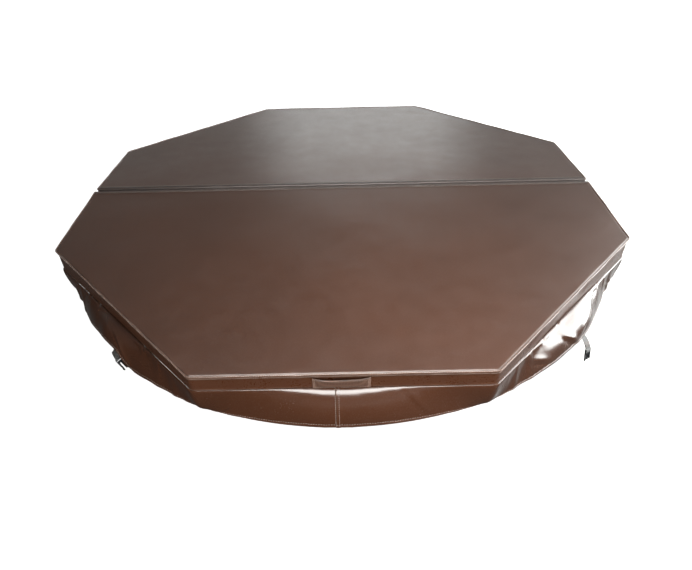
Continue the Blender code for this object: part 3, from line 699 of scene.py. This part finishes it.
def slacken(shapes):
    """The skirt strips after a cloth simulation, whose moves are limited, and least near a strap."""
    strips = {name: add_cloth(name, shape) for name, shape in shapes.items()}
    scene = bpy.context.scene
    for step in range(1, SIM_FRAMES + 1):
        scene.frame_set(step)
    view = bpy.context.evaluated_depsgraph_get()
    slack = {}
    for name, strip in strips.items():
        mesh = strip.evaluated_get(view).to_mesh()
        points = np.zeros(len(mesh.vertices) * 3)
        mesh.vertices.foreach_get("co", points)
        shape = shapes[name]
        moved = points.reshape(shape.shape) - shape
        to_seam = SIM_STEP * np.arange(shape.shape[1])[::-1]
        calm = 0.15 + 0.85 * smooth(to_seam, 0.40, 0.70)
        calm = calm * smooth(abs(to_seam - STRAP_PLACES[name]), 0.030, 0.120)
        far = np.linalg.norm(moved, axis=-1, keepdims=True)
        held_back = np.tanh(far / SIM_LIMIT) * SIM_LIMIT / np.maximum(far, 1e-9)
        slack[name] = shape + moved * held_back * calm[None, :, None]
        bpy.data.objects.remove(strip)
    scene.frame_set(1)
    return slack


CREASES = {  # side, end: metres from the lap seam, share of the fall, lean, half length, depth
    (-1, 1): ((0.86, 0.62, 0.75, 0.055, 0.0060), (0.98, 0.45, -0.55, 0.050, 0.0045),
              (0.70, 0.55, 0.60, 0.060, 0.0030), (1.28, 0.50, 0.20, 0.050, 0.0035),
              (1.36, 0.55, -0.15, 0.045, 0.0030), (0.24, 0.40, 0.90, 0.070, 0.0015)),
    (-1, -1): ((0.78, 0.70, -0.60, 0.055, 0.0040), (0.33, 0.45, 0.85, 0.080, 0.0018)),
    (1, 1): ((0.80, 0.60, 0.70, 0.055, 0.0045),),
    (1, -1): ((0.55, 0.50, -0.65, 0.060, 0.0040), (1.10, 0.60, 0.40, 0.055, 0.0035)),
}


def build_skirt(side, half, end, end_name, slack, threads):
    rows, columns = slack.shape[:2]
    falls = lengths_along(slack[:, -8])  # beside the lap, clear of the caught-up hem
    drop = falls[-1]
    seam = drop - HEM_FOLD
    fine = np.concatenate([
        [0, 0.0012, 0.0025, 0.004], np.linspace(0.006, seam - 0.004, 20),
        seam + np.array([-0.0024, -0.0012, -0.0004, 0.0004, 0.0012, 0.0026, 0.005, 0.0075, 0.0095]), [drop]])
    columns = np.linspace(0, columns - 1, 2 * columns - 1)
    points = refined(slack, np.interp(fine, falls, np.arange(rows)), columns)
    normals = grid_normals(points)
    if np.sum(normals[..., :2] * points[..., :2]) < 0:
        normals = -normals
    to_seam = (columns[-1] - columns) * SIM_STEP
    height = fine[:, None]
    push = np.full(points.shape[:2], SKIRT_OUT)
    for place, middle, lean, reach, depth in CREASES.get((side, end), ()):
        x, y = to_seam[None, :] - place, height - middle * drop
        way = x * cos(lean) + y * sin(lean)
        beside = y * cos(lean) - x * sin(lean)
        push = push + depth * np.exp(-(way / reach) ** 2) * (
            np.exp(-(beside / 0.012) ** 2) - 0.7 * np.exp(-((beside - 0.015) / 0.009) ** 2))
    past = fine - seam
    hem = 0.0007 * smooth(past, -0.0002, 0.0012) - 0.0009 * np.exp(-(past / 0.0011) ** 2)
    rolls_out = 0.0042 * (1 - np.exp(-height / 0.0026)) * np.exp(-height / 0.045)
    gather = 0.0004 * np.sin(to_seam * 2 * pi / 0.023 + 3 * np.sin(to_seam * 7))
    push = push + rolls_out + hem[:, None] + gather * np.exp(-(past / 0.010) ** 2)[:, None]
    if end > 0:
        push = push + 0.0014 * (1 - smooth(to_seam, 2 * LAP_HALF - 0.001, 2 * LAP_HALF + 0.002))
    else:
        push = push - 0.0004 * (1 - smooth(to_seam, LAP_HALF, 2 * LAP_HALF))
    points = points + normals * push[..., None]
    wear_and_highlight = 0.45 * np.exp(-abs(fine - drop) / 0.004)[:, None] + 0.3 * np.exp(-to_seam / 0.003)
    facing = grid_normals(points)
    order = np.sum(facing[..., :2] * points[..., :2]) > 0
    skirt = half_cloth(half, "hanging_skirt_" + end_name, "skirt_" + end_name, "skirt_vinyl", points,
                       grid_faces(*points.shape[:2], flip=order), SKIRT_VINYL, wear_and_highlight)
    facing = facing if order else -facing
    hem_row = np.argmin(abs(past))
    threads.sew(points[hem_row], facing[hem_row], pitch=0.0075, length=0.0055, width=0.0012)
    for behind in (0.0022, 2 * LAP_HALF - 0.0022) if end > 0 else ():
        column = np.argmin(abs(to_seam - behind))
        threads.sew(points[1:, column], facing[1:, column])


# ---------------------------------------------------------------- handle

def build_handle(side, half, threads):
    """A woven carrying band, sewn down at its ends and foot and bowed out at the top."""
    middle = (handle_low.x + handle_high.x) / 2
    long, foot, top = handle_high.x - handle_low.x, handle_low.z, handle_high.z
    bow = 0.72 * (handle_high.y - APOTHEM - 0.0028)
    across, up = 150, 40
    s = np.linspace(-1, 1, across + 1)[None, :]
    rise = np.linspace(0, 1, up + 1)[:, None]
    height = foot + (top - foot) * rise
    height_sagged = height - 0.0024 * np.exp(-((s + 0.36) / 0.45) ** 2) * (1 - s ** 4) * rise ** 4
    out = APOTHEM + bow * rise ** 0.6 * (1 - s ** 4)
    inside = smooth(1 - abs(s), 0.02, 0.05) * smooth(rise, 0.04, 0.10) * (1 - smooth(rise, 0.88, 0.93))
    knit = 0.00030 * inside * np.cos(pi * s * long / 0.0034) * np.cos(2 * pi * height / 0.0034)
    binding = 0.0007 * (np.exp(-((rise - 0.965) / 0.035) ** 2) + np.exp(-((1 - abs(s)) / 0.02) ** 2))
    front = xyz(middle + s * long / 2, side * (out + 0.0029 + knit + binding), height_sagged)
    back = xyz(middle + s * long / 2, side * (out + 0.0004), height_sagged)
    sections = np.concatenate([front, back[::-1]]).transpose(1, 0, 2)
    handle = loft(half + "_carrying_handle", sections, HANDLE_WEAVE)
    fit(handle, half + "_half", "handle_weave", half + "_handle")
    facing = np.array([0.0, side, 0.0])
    lines = [front[row] for row in (1, up - 5)]
    lines += [front[:, column] for column in (2, 6, across - 6, across - 2)]
    for line in lines:
        threads.sew(line + facing * 0.0002, facing, pitch=0.005, length=0.0036, width=0.0009)


# ---------------------------------------------------------------- underside and fold

UNDER_WAVE = {side: ripples(9, 0.10, 0.40, 0.0007) for side, _ in HALVES}
ZIP_Y = (zip_low.y + zip_high.y) / 2
ZIP_REACH = zip_high.x
GROMMET_X = (grommet_low.x + grommet_high.x) / 2
GROMMET_Y = (grommet_low.y + grommet_high.y) / 2
HOLE_HALF = 0.0058
SLIT_HALF = 0.0035
UNDER_INSET = 0.0032


def build_underside(side, half, threads):
    """The panel that rests on the tub, open along the zip and at the two drains."""
    edge = APOTHEM - UNDER_INSET
    rows = np.concatenate([
        [FOLD_Y + 0.0008, 0.014, 0.022, 0.028], GROMMET_Y + np.array([-1, 1]) * HOLE_HALF,
        [0.052, 0.060], ZIP_Y + np.array([-0.008, -SLIT_HALF, SLIT_HALF, 0.008]),
        np.linspace(0.097, edge - 0.02, 60), edge - np.array([0.012, 0.006, 0.002, 0]),
    ])
    hole = edge - GROMMET_X
    margins = [0, 0.004, 0.010, 0.020, 0.040, 0.060, hole - HOLE_HALF, hole + HOLE_HALF, 0.095, 0.11]
    x, y = half_grid(side, rows, margins, 116, UNDER_INSET)
    free = smooth(rim_distance(x, y), 0.0, 0.08) * smooth(abs(abs(y) - ZIP_Y), 0.02, 0.09)
    points = xyz(x, y, 0.0003 + np.clip(UNDER_WAVE[side](x, y) * free, -0.0012, 0.0008))
    faces = grid_faces(*x.shape, flip=side > 0)
    x, y, _ = abs(points.reshape(-1, 3)[faces].mean(axis=1)).T
    in_slit = (abs(y - ZIP_Y) < SLIT_HALF) & (x < ZIP_REACH)
    in_hole = (abs(y - GROMMET_Y) < HOLE_HALF) & (abs(x - GROMMET_X) < HOLE_HALF)
    panel = half_cloth(half, "underside", "underside_panel", "underside_fabric", points,
                       faces[~(in_slit | in_hole)], UNDERSIDE)
    threads.sew(xyz(*edge_path(side, 0.016)[0].T, -0.0001), -UP)


def build_fold_wall(side, half, threads):
    """Each half's wall in the fold, pulled flat over the steel channel."""
    reach, high = wall_high.x, FOLD_TOP - FOLD_ROLL
    x = np.linspace(-reach, reach, 150)[None, :]
    share = np.linspace(0, 1, 13)[:, None]
    sag = 0.0006 * np.sin(x * 31 + 2 * np.sin(x * 5)) * np.sin(share * pi)
    points = xyz(x, side * (FOLD_Y + 0.0002 + abs(sag)), 0.0012 + (high - 0.0012) * share)
    wall = half_cloth(half, "fold_lining", "fold_wall", "underside_fabric", points,
                      grid_faces(*sag.shape, flip=side < 0), UNDERSIDE)
    facing = np.array([0.0, -side, 0.0])
    threads.sew(points[1] + facing * 0.0001, facing)


def hinge_section():
    """The rear side of the hinge strip's upper face, from its sewn edge to the groove's foot."""
    seat = CLOTH * 0.5
    line = [(y, top_height(y) + seat) for y in np.linspace(0.030, FOLD_Y + FOLD_ROLL + 0.001, 6)]
    radius = FOLD_ROLL + seat
    for turn in np.linspace(radians(90), radians(172), 9):
        line.append((FOLD_Y + FOLD_ROLL + radius * cos(turn),
                     top_height(FOLD_Y) - FOLD_ROLL + radius * sin(turn)))
    start_y, start_z = line[-1]
    for share in (0.35, 0.6, 0.8, 0.93):
        line.append((start_y * (1 - share) ** 0.8, start_z + (FOLD_TOP - 0.0185 - start_z) * share))
    return line


def build_hinge(threads):
    """The vinyl strip across the fold: a flap on each half and a slack groove between them."""
    line = hinge_section()
    upper = np.array(line + [(0.0, FOLD_TOP - 0.0192)] + [(-y, z) for y, z in line[::-1]])
    ahead = np.gradient(upper, axis=0)
    normal = unit(np.column_stack([ahead[:, 1], -ahead[:, 0]]))
    normal = normal * np.sign(normal[0, 1])
    raised = np.full(len(upper), CLOTH)
    raised[[0, -1]] = CLOTH * 0.3
    loop = np.concatenate([upper + normal * raised[:, None], (upper - normal * 0.0001)[::-1]])
    reach = APOTHEM - 0.0005
    places = np.concatenate([[-reach], np.linspace(-reach + 0.002, reach - 0.002, 210), [reach]])
    slack = 1 - smooth(abs(loop[:, 0]), FOLD_Y + 0.004, FOLD_Y + 0.020)
    wander = 0.0006 * np.sin(places * 37 + 2 * np.sin(places * 9))
    sections = xyz(
        places[:, None], loop[:, 0] + wander[:, None] * slack * 0.6,
        loop[:, 1] + 0.0005 * np.sin(places * 53)[:, None] * slack)
    # The whole strip is darkened: painted shade of the fold groove.
    strip = loft("hinge_cloth", sections, SHADED_HINGE_VINYL)
    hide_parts("hinge_strip")
    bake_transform(strip)
    for side, half, y in ((-1, "front", 0.0275), (-1, "front", 0.0205), (1, "rear", 0.0275)):
        threads[half].sew(xyz(places[1:-1], side * y, top_height(y) + 0.0017), UP)


def build_seal():
    """A thin foam pad in a vinyl sleeve, drawn in a little at its cross stitches."""
    low, high, reach = seal_low.z, seal_high.z, seal_high.x
    places = np.linspace(-reach, reach, 240)
    turns = 2 * pi * np.arange(28) / 28
    y, z = (np.sign(part) * abs(part) ** 0.32 for part in (np.cos(turns), np.sin(turns)))
    full = 0.90 + 0.10 * abs(np.sin(places / 0.155 * pi / 2)) ** 0.6
    ends = smooth(reach - abs(places), -0.002, 0.010) * 0.25 + 0.75
    sections = xyz(
        places[:, None], seal_high.y * y * (full * ends)[:, None],
        (low + high) / 2 + (high - low) / 2 * z * ends[:, None])
    seal = loft("steam_seal_pad", sections, SEAL_CLOTH)
    fit(seal, "rear_half", "seal_pad", "steam_seal")


# ---------------------------------------------------------------- zips and drains

def moulding(outlines, thickness, edge, turn):
    """A flat outline with holes, thickened, with rounded edges; returns its mesh."""
    curve = bpy.data.curves.new("outline", "CURVE")
    curve.dimensions, curve.fill_mode = "2D", "BOTH"
    curve.extrude = thickness / 2 - edge
    curve.bevel_depth, curve.bevel_resolution = edge, 2
    curve.offset = -edge
    for outline in outlines:
        spline = curve.splines.new("POLY")
        spline.points.add(len(outline) - 1)
        for point, (x, y) in zip(spline.points, outline):
            point.co = (x, y, 0, 1)
        spline.use_cyclic_u = True
    source = add_object("outline", curve)
    mesh = bpy.data.meshes.new_from_object(source.evaluated_get(bpy.context.evaluated_depsgraph_get()))
    bpy.data.objects.remove(source)
    mesh.transform(turn)
    return mesh


def assembled(name, meshes, material, place):
    """Mouldings joined into one object at a place."""
    whole = bmesh.new()
    for mesh in meshes:
        whole.from_mesh(mesh)
        bpy.data.meshes.remove(mesh)
    bmesh.ops.remove_doubles(whole, verts=whole.verts, dist=0.000005)
    bmesh.ops.recalc_face_normals(whole, faces=whole.faces)
    mesh = bpy.data.meshes.new(name)
    whole.to_mesh(mesh)
    whole.free()
    mesh.transform(place)
    mesh.shade_smooth()
    mesh.set_sharp_from_angle(angle=radians(38))
    mesh.materials.clear()
    mesh.materials.append(material)
    return add_object(name, mesh)


def rounded(width, height, corner, centre=(0.0, 0.0), steps=5):
    """Outline of a rectangle with round corners."""
    points = []
    for x, y, start in ((1, 1, 0), (-1, 1, 90), (-1, -1, 180), (1, -1, 270)):
        for step in range(steps):
            angle = radians(start + 90 * step / (steps - 1))
            points.append((centre[0] + x * (width / 2 - corner) + corner * cos(angle),
                           centre[1] + y * (height / 2 - corner) + corner * sin(angle)))
    return points


def circle(radius, height, count):
    return [(radius * cos(a), height + radius * sin(a)) for a in np.linspace(0, 6.283, count + 1)[:-1]]


def build_zip(side, half, threads):
    """Tape sewn to the underside, with two rows of teeth closed down its middle."""
    reach, wide, middle = ZIP_REACH, (zip_high.y - zip_low.y) / 2, side * ZIP_Y
    x = np.linspace(-reach, reach, 260)
    across = np.concatenate([np.linspace(-wide, -0.0008, 14), np.linspace(0.0008, wide, 14)])
    points = xyz(x[:, None], middle + across, -0.0008 - 0.00012 * np.sin(across / 0.0011))
    tape = half_cloth(half, "zip_tape", "zipper", "zip_tape", points, grid_faces(260, 28), ZIP_TAPE,
                      thickness=0.0007, offset=0.0)
    for y in (-0.011, 0.011):
        threads.sew(xyz(x, middle + y, -0.00125), -UP, width=0.0008)
    teeth, pitch = Threads(), 0.0034
    for bank in (-1, 1):
        place = np.arange(-reach + 0.006 + (bank + 1) * pitch / 4, reach - 0.006, pitch)
        centre = xyz(place, middle + bank * 0.0010, -0.0022)
        along, down = (np.tile(way, (len(place), 1)) for way in ([0.0, 1.0, 0.0], -UP))
        teeth.place(centre, along, down, 0.0042, 0.0015)
    fit(teeth.finish(half + "_zip_teeth", ZIP_METAL), half + "_half", "zip_metal")


def lowered(depth):
    return Matrix.Translation((0, 0, -depth))


def build_slider(side, half):
    """Slider body with its bridge, and the pull tab that hangs from it."""
    low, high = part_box(half + "_zipper_slider")
    wing = [(-0.008, -0.0045), (0.003, -0.0062), (0.008, -0.0048),
            (0.008, 0.0048), (0.003, 0.0062), (-0.008, 0.0045)]
    lug = [(0.0026, 0.0), (-0.0026, 0.0), (-0.0024, -0.0035), (-0.0012, -0.0052),
           (0.0012, -0.0052), (0.0024, -0.0035)]
    body = moulding([wing], 0.0026, 0.0006, lowered(0.0013))
    ridge = moulding([rounded(0.010, 0.0030, 0.0010)], 0.0010, 0.0003, lowered(0.0028))
    bridge = moulding([lug, circle(0.0011, -0.0034, 10)], 0.0022, 0.0003, lowered(0.0018) @ UPRIGHT)
    place = Matrix.Translation(((low.x + high.x) / 2, side * ZIP_Y, -0.0034))
    slider = assembled(half + "_slider_body", [body, ridge, bridge], ZIP_METAL, place)
    fit(slider, half + "_zipper_slider", "zip_metal", half + "_zipper_slider")
    right = [(0.0040, 0.0006), (0.0040, -0.0215), (0.0030, -0.0252), (0.0012, -0.0268)]
    tab = [(-x, z) for x, z in right] + right[::-1]
    window = rounded(0.0044, 0.0068, 0.0008, (0, -0.0041))
    parts = [moulding([tab, window, circle(0.0017, -0.0215, 14)], 0.0013, 0.0004, ACROSS)]
    for rib in range(4):
        bar = rounded(0.0052, 0.0009, 0.0004, (0, -0.0105 - 0.0020 * rib), 3)
        parts.append(moulding([bar], 0.0019, 0.0002, ACROSS))
    place = Matrix.Translation(PIVOTS[half + "_zip_pull_flip"])
    pull = assembled(half + "_pull_tab", parts, ZIP_METAL, place)
    fit(pull, half + "_zipper_pull", "zip_metal", half + "_zipper_pull")


def build_grommet(side, half, end, end_name):
    """Rolled brass eyelet round a drain hole."""
    ring = [(0.0078 - 0.0019 * cos(turn), 0.0009 * sin(turn) - 0.0004)
            for turn in np.radians(np.linspace(100, 350, 9))]
    ring += [(0.0058, -0.0002), (0.0056, 0.0022), (0.0062, 0.0026), (0.0066, 0.0022), (0.0064, 0.0004),
             (0.0088, 0.0001)]
    radius, height = np.array(ring).T
    turns = (2 * pi * np.arange(40) / 40)[:, None]
    points = xyz(end * GROMMET_X + radius * np.cos(turns), side * GROMMET_Y + radius * np.sin(turns),
                 height)
    faces = grid_faces(len(turns) + 1, len(ring), wrap=True) % (len(turns) * len(ring))
    eyelet = add_mesh(f"{half}_eyelet_{end_name}", points, faces, BRASS, outward=True)
    fit(eyelet, half + "_half", "brass_eyelet", f"{half}_drain_grommet_{end_name}")


# ---------------------------------------------------------------- tie-down straps

def strap_line(bend, along):
    """Centre and heading of webbing that starts straight down and bends evenly."""
    heading, radius = bend * along / STRAP_LENGTH, STRAP_LENGTH / bend
    return np.array([radius * (1 - cos(heading)), -radius * sin(heading)]), heading


def strap_route(half, end, pivot):
    """The webbing's centre line and breadth direction: sewn inside the hem, down to the buckle's
    bar, round it and up. A strap that faces another way than the hem twists just below it."""
    azimuth = atan2(pivot[1], pivot[0])
    place = np.array([cos(azimuth), sin(azimuth), 0.0])
    facing, lean, final, _ = map(radians, STRAPS[half, end])
    out = np.array([cos(facing), sin(facing), 0.0])
    seam = APOTHEM + 0.0003
    sewn = []
    for height in np.linspace(0.030, 0.002, 6):
        z = pivot[2] + 0.004 + height
        turn = acos(1 - (SKIRT_TOP - z) / (SKIRT_TOP - HEM_Z))
        sewn.append(place * (seam + (HEM_RADIUS - seam) * sin(turn) - 0.0024) + UP * z)

    def beside(along, ply):
        (x, z), heading = strap_line(final - lean, along)
        turn = heading + lean
        across, drop = x * cos(lean) - z * sin(lean), x * sin(lean) + z * cos(lean)
        return pivot + out * (across + ply * cos(turn)) + UP * (drop + ply * sin(turn))

    bar = STRAP_LENGTH - 0.0062
    down = [beside(along, 0.0008 * float(smooth(along, 0.020, 0.027)))
            for along in np.linspace(0.003, bar, 12)]
    eye, rim = beside(STRAP_LENGTH, 0.0), EYE_RADIUS + WEBBING / 2
    round_eye = [eye + rim * (out * cos(turn) + UP * sin(turn))
                 for turn in np.linspace(final + radians(62), final - radians(242), 13)]
    back = [beside(along, -0.0008) for along in np.linspace(bar, 0.027, 6)]
    line = np.array(sewn + down + round_eye + back)
    twist = (facing - azimuth + pi / 2) % pi - pi / 2
    turned = np.concatenate([np.zeros(len(sewn)), smooth(np.linspace(0.003, 0.0488, 12), 0.001, 0.022),
                             np.ones(len(round_eye) + len(back))])
    heading = azimuth + twist * turned + pi / 2
    return line, xyz(np.cos(heading), np.sin(heading), 0.0)


def build_strap(half, end, end_name):
    pivot = np.array(PIVOTS[f"{half}_{end_name}_strap_swing"])
    line, wide = strap_route(half, end, pivot)
    stations = np.linspace(0, len(line) - 1, 8 * len(line))
    line, wide = catmull(line, stations), catmull(wide, stations)
    long = lengths_along(line)[-1]
    places = np.arange(0, long, 0.0007)
    centre, wide = at_lengths(line, line, places), at_lengths(line, wide, places)
    ahead = unit(np.gradient(centre, axis=0))
    wide = unit(wide - ahead * np.sum(wide * ahead, axis=1, keepdims=True))
    facing = unit(np.cross(ahead, wide))
    breadth = np.linspace(-0.5, 0.5, 37)
    edge = np.sqrt(np.clip(1 - (abs(breadth) / 0.5) ** 10, 0.05, 1))
    shift = np.where((np.floor(breadth * 11 + 0.5) % 2) > 0, 0.0, pi)
    half_thick = WEBBING / 2 * edge + 0.00010 * np.cos(2 * pi * breadth * 11) + 0.00007 * np.cos(
        places[:, None] * 2 * pi / 0.0026 + shift)
    flat = centre[:, None] + wide[:, None] * (breadth * WEBBING_WIDTH)[:, None]
    lift = facing[:, None] * half_thick[..., None]
    sections = np.concatenate([flat + lift, (flat - lift)[:, ::-1]], axis=1)
    strap = loft(f"{half}_webbing_{end_name}", sections, WEBBING_CLOTH)
    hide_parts(f"{half}_strap_{end_name}", f"{half}_strap_anchor_{end_name}")
    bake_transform(strap)
    sewn = Threads()
    first = np.argmin(abs(places - 0.060))
    box = slice(first, first + 24)
    centre, wide, facing = (part[box] for part in (centre + facing * 0.0009, wide, facing))
    across = np.linspace(-0.009, 0.009, 12)[:, None]
    slant = np.linspace(0, 1, 24)[:, None] * 0.018 - 0.009
    rows = [(centre + wide * offset, facing) for offset in (-0.009, 0.009)]
    rows += [(centre[at] + wide[at] * across, facing[at]) for at in (0, -1)]
    rows += [(centre + wide * sign * slant, facing) for sign in (-1, 1)]
    for row, up in rows:
        sewn.sew(row, up, pitch=0.0030, length=0.0024, width=0.0008)
    fit(sewn.finish(f"{half}_box_stitch_{end_name}", THREAD), f"{half}_strap_{end_name}", "webbing")


def build_buckle(half, end, end_name):
    """Side-release clip: bar and frame, guide tongue, and two ribbed arms with barbs."""
    facing, _, _, hang = map(radians, STRAPS[half, end])
    right = [
        (0.0138, 0.0015), (0.0150, 0.0004), (0.0150, -0.0235), (0.0146, -0.0290), (0.0138, -0.0330),
        (0.0150, -0.0354), (0.0158, -0.0376), (0.0155, -0.0408), (0.0142, -0.0434), (0.0124, -0.0446),
        (0.0106, -0.0440), (0.0098, -0.0400), (0.0096, -0.0350), (0.0094, -0.0250), (0.0090, -0.0158),
        (0.0082, -0.0150), (0.0042, -0.0150), (0.0036, -0.0158), (0.0031, -0.0375), (0.0024, -0.0412),
        (0.0012, -0.0428),
    ]
    outline = right + [(-x, z) for x, z in reversed(right)]
    slot = rounded(0.0264, 0.0047, 0.0010, (0, -0.00385))
    parts = [moulding([outline, slot], 0.0050, 0.0009, ACROSS)]
    for sign in (-1, 1):
        for rib in range(5):
            bar = rounded(0.0034, 0.0011, 0.0004, (sign * 0.0122, -0.0190 - 0.0025 * rib), 3)
            parts.append(moulding([bar], 0.0058, 0.0003, ACROSS))
    parts.append(moulding([rounded(0.0180, 0.0040, 0.0016, (0, -0.0108))], 0.0057, 0.0004, ACROSS))
    place = Matrix.Translation(PIVOTS[f"{half}_{end_name}_buckle_turn"])
    place = place @ (Matrix.Rotation(facing, 4, "Z") @ Matrix.Rotation(-hang, 4, "Y"))
    buckle = assembled(f"{half}_clip_{end_name}", parts, BUCKLE_PLASTIC, place)
    fit(buckle, f"{half}_buckle_{end_name}", "buckle_plastic", f"{half}_buckle_{end_name}")


# ---------------------------------------------------------------- the whole cover

def finish_cad_nodes():
    """Materials for the pieces whose CAD shape stays: core, vapour barrier and channel."""
    for _, half in HALVES:
        for part, material in (("foam_core", FOAM), ("vapour_wrap", FILM), ("steel_channel", STEEL)):
            mesh = frame["nodes"][f"{half}_{part}"].data
            mesh.materials.clear()
            mesh.materials.append(material)


def build_cover():
    finish_cad_nodes()
    shapes = {(side, end): skirt_shape(side, end) for side, _ in HALVES for end, _ in ENDS}
    slack = slacken(shapes)
    threads = {half: Threads() for _, half in HALVES}
    for side, half in HALVES:
        build_top(side, half)
        build_side_band(side, half, threads[half])
        build_welt(side, half)
        build_handle(side, half, threads[half])
        build_underside(side, half, threads[half])
        build_fold_wall(side, half, threads[half])
        build_zip(side, half, threads[half])
        build_slider(side, half)
        for end, end_name in ENDS:
            build_skirt(side, half, end, end_name, slack[side, end], threads[half])
            build_grommet(side, half, end, end_name)
            build_strap(half, end, end_name)
            build_buckle(half, end, end_name)
    build_hinge(threads)
    build_seal()
    for _, half in HALVES:
        fit(threads[half].finish(half + "_stitching", THREAD), half + "_half", "welt_vinyl")


# ---------------------------------------------------------------- stage, light and camera

def build_stage():
    """A wide white floor just under the strap ends. It glows faintly, like a lit cyclorama."""
    wide, level = 30.0, cad_low.z - 0.001
    mesh = bpy.data.meshes.new("floor")
    corners = [(x * wide, y * wide, level) for x, y in ((-1, -1), (1, -1), (1, 1), (-1, 1))]
    mesh.from_pydata(corners, [], [(0, 1, 2, 3)])
    material, _, _, _ = principled(
        "floor", Emission_Strength=0.90, Emission_Color=(1.0, 1.0, 1.0, 1.0),
        Base_Color=(0.80, 0.80, 0.80, 1.0), Roughness=0.9)
    mesh.materials.append(material)
    floor = add_object("floor", mesh)
    floor.visible_glossy = floor.visible_diffuse = False


def add_light(name, place, target, size, power, colour):
    light = bpy.data.lights.new(name, "AREA")
    light.shape = "RECTANGLE"
    light.size, light.size_y = size
    light.energy, light.color = power, colour
    obj = add_object(name, light)
    obj.location = place
    obj.rotation_euler = (Vector(target) - Vector(place)).to_track_quat("-Z", "Y").to_euler()
    obj.visible_camera = False
    return obj


def build_lights():
    """Soft boxes. Some light only the cloth's colour, and some only its sheen."""
    warm = (1.0, 0.93, 0.86)
    key = add_light("key", (0.42, -1.45, 1.45), (0.25, -0.8, 0.0), (0.7, 0.7), 8, warm)
    key.data.spread = radians(90)
    key.visible_glossy = False
    for name, place, target, size, power in (
        ("front_fill", (0.2, -4.2, 0.45), (0.0, -1.0, 0.0), (2.6, 1.2), 105),
        ("right_fill", (3.2, -0.9, 0.6), (0.8, -0.8, 0.0), (1.6, 2.0), 28),
        ("rear_fill", (0.2, 3.4, 1.6), (0.1, 0.6, 0.1), (2.0, 1.0), 12),
    ):
        add_light(name, place, target, size, power, warm).visible_glossy = False
    for name, place, target, size, power in (
        ("overhead", (0.18, -1.68, 2.4), (0.18, -1.68, 0.0), (2.3, 1.85), 250),
        ("right_window", (3.4, -0.3, 0.75), (0.8, -0.75, 0.0), (3.6, 3.4), 560),
        ("back_glow", (0.3, 4.6, 1.45), (0.15, 0.9, 0.05), (2.4, 0.8), 28),
    ):
        add_light(name, place, target, size, power, (0.97, 1.0, 0.99)).visible_diffuse = False


def build_world():
    """Soft surroundings: dark below, dim at the left, brighter behind the cover and at the right."""
    world = bpy.data.worlds.new("surroundings")
    bpy.context.scene.world = world
    world.use_nodes = True
    tree = world.node_tree
    split = node(tree, "SeparateXYZ", Vector=node(tree, "TexCoord").outputs["Generated"])

    def along(axis, *span):
        return mapped(tree, split.outputs[axis], *span)

    low = maths(tree, "MULTIPLY", along("Y", 0.0, 0.9, 0.3, 1.0), along("Z", 0.8, 0.0, 0.1, 0.6))
    level = maths(tree, "ADD", maths(tree, "ADD", 0.13, low), along("X", 0.0, 0.75, 0.0, 0.95))
    level = maths(tree, "MULTIPLY", level, along("Z", 0.22, 1.0, -0.10, 0.12))
    floor = maths(tree, "MULTIPLY", along("Y", 0.0, 0.9, 0.1, 0.5), along("Z", 0.0, 1.0, -0.2, -0.5))
    floor = maths(tree, "MULTIPLY", floor, along("X", 0.0, 1.0, 0.2, 0.7))
    background = tree.nodes["Background"]
    tree.links.new(maths(tree, "ADD", level, floor), background.inputs["Strength"])
    background.inputs["Color"].default_value = (0.97, 1.0, 0.98, 1.0)


def build_camera():
    """The photographer's place: in front of the cover, above it, tilted down and a touch rolled."""
    pitch, yaw, roll = radians(37.83), -0.0026, -0.0225
    ahead = Vector((sin(yaw) * cos(pitch), cos(yaw) * cos(pitch), -sin(pitch)))
    across = ahead.cross(Vector((0, 0, 1))).normalized()
    up = across.cross(ahead)
    data = bpy.data.cameras.new("camera")
    data.lens, data.sensor_width = 27.83, 36.0
    data.clip_start, data.clip_end = 0.05, 200.0
    camera = add_object("camera", data)
    matrix = Matrix((
        cos(roll) * across + sin(roll) * up, cos(roll) * up - sin(roll) * across, -ahead,
    )).transposed().to_4x4()
    matrix.translation = (0.0155, -2.1052, 1.1858)
    camera.matrix_world = matrix
    bpy.context.scene.camera = camera


build_cover()
build_stage()
build_lights()
build_world()
build_camera()
bpy.context.scene.view_settings.view_transform = "Standard"
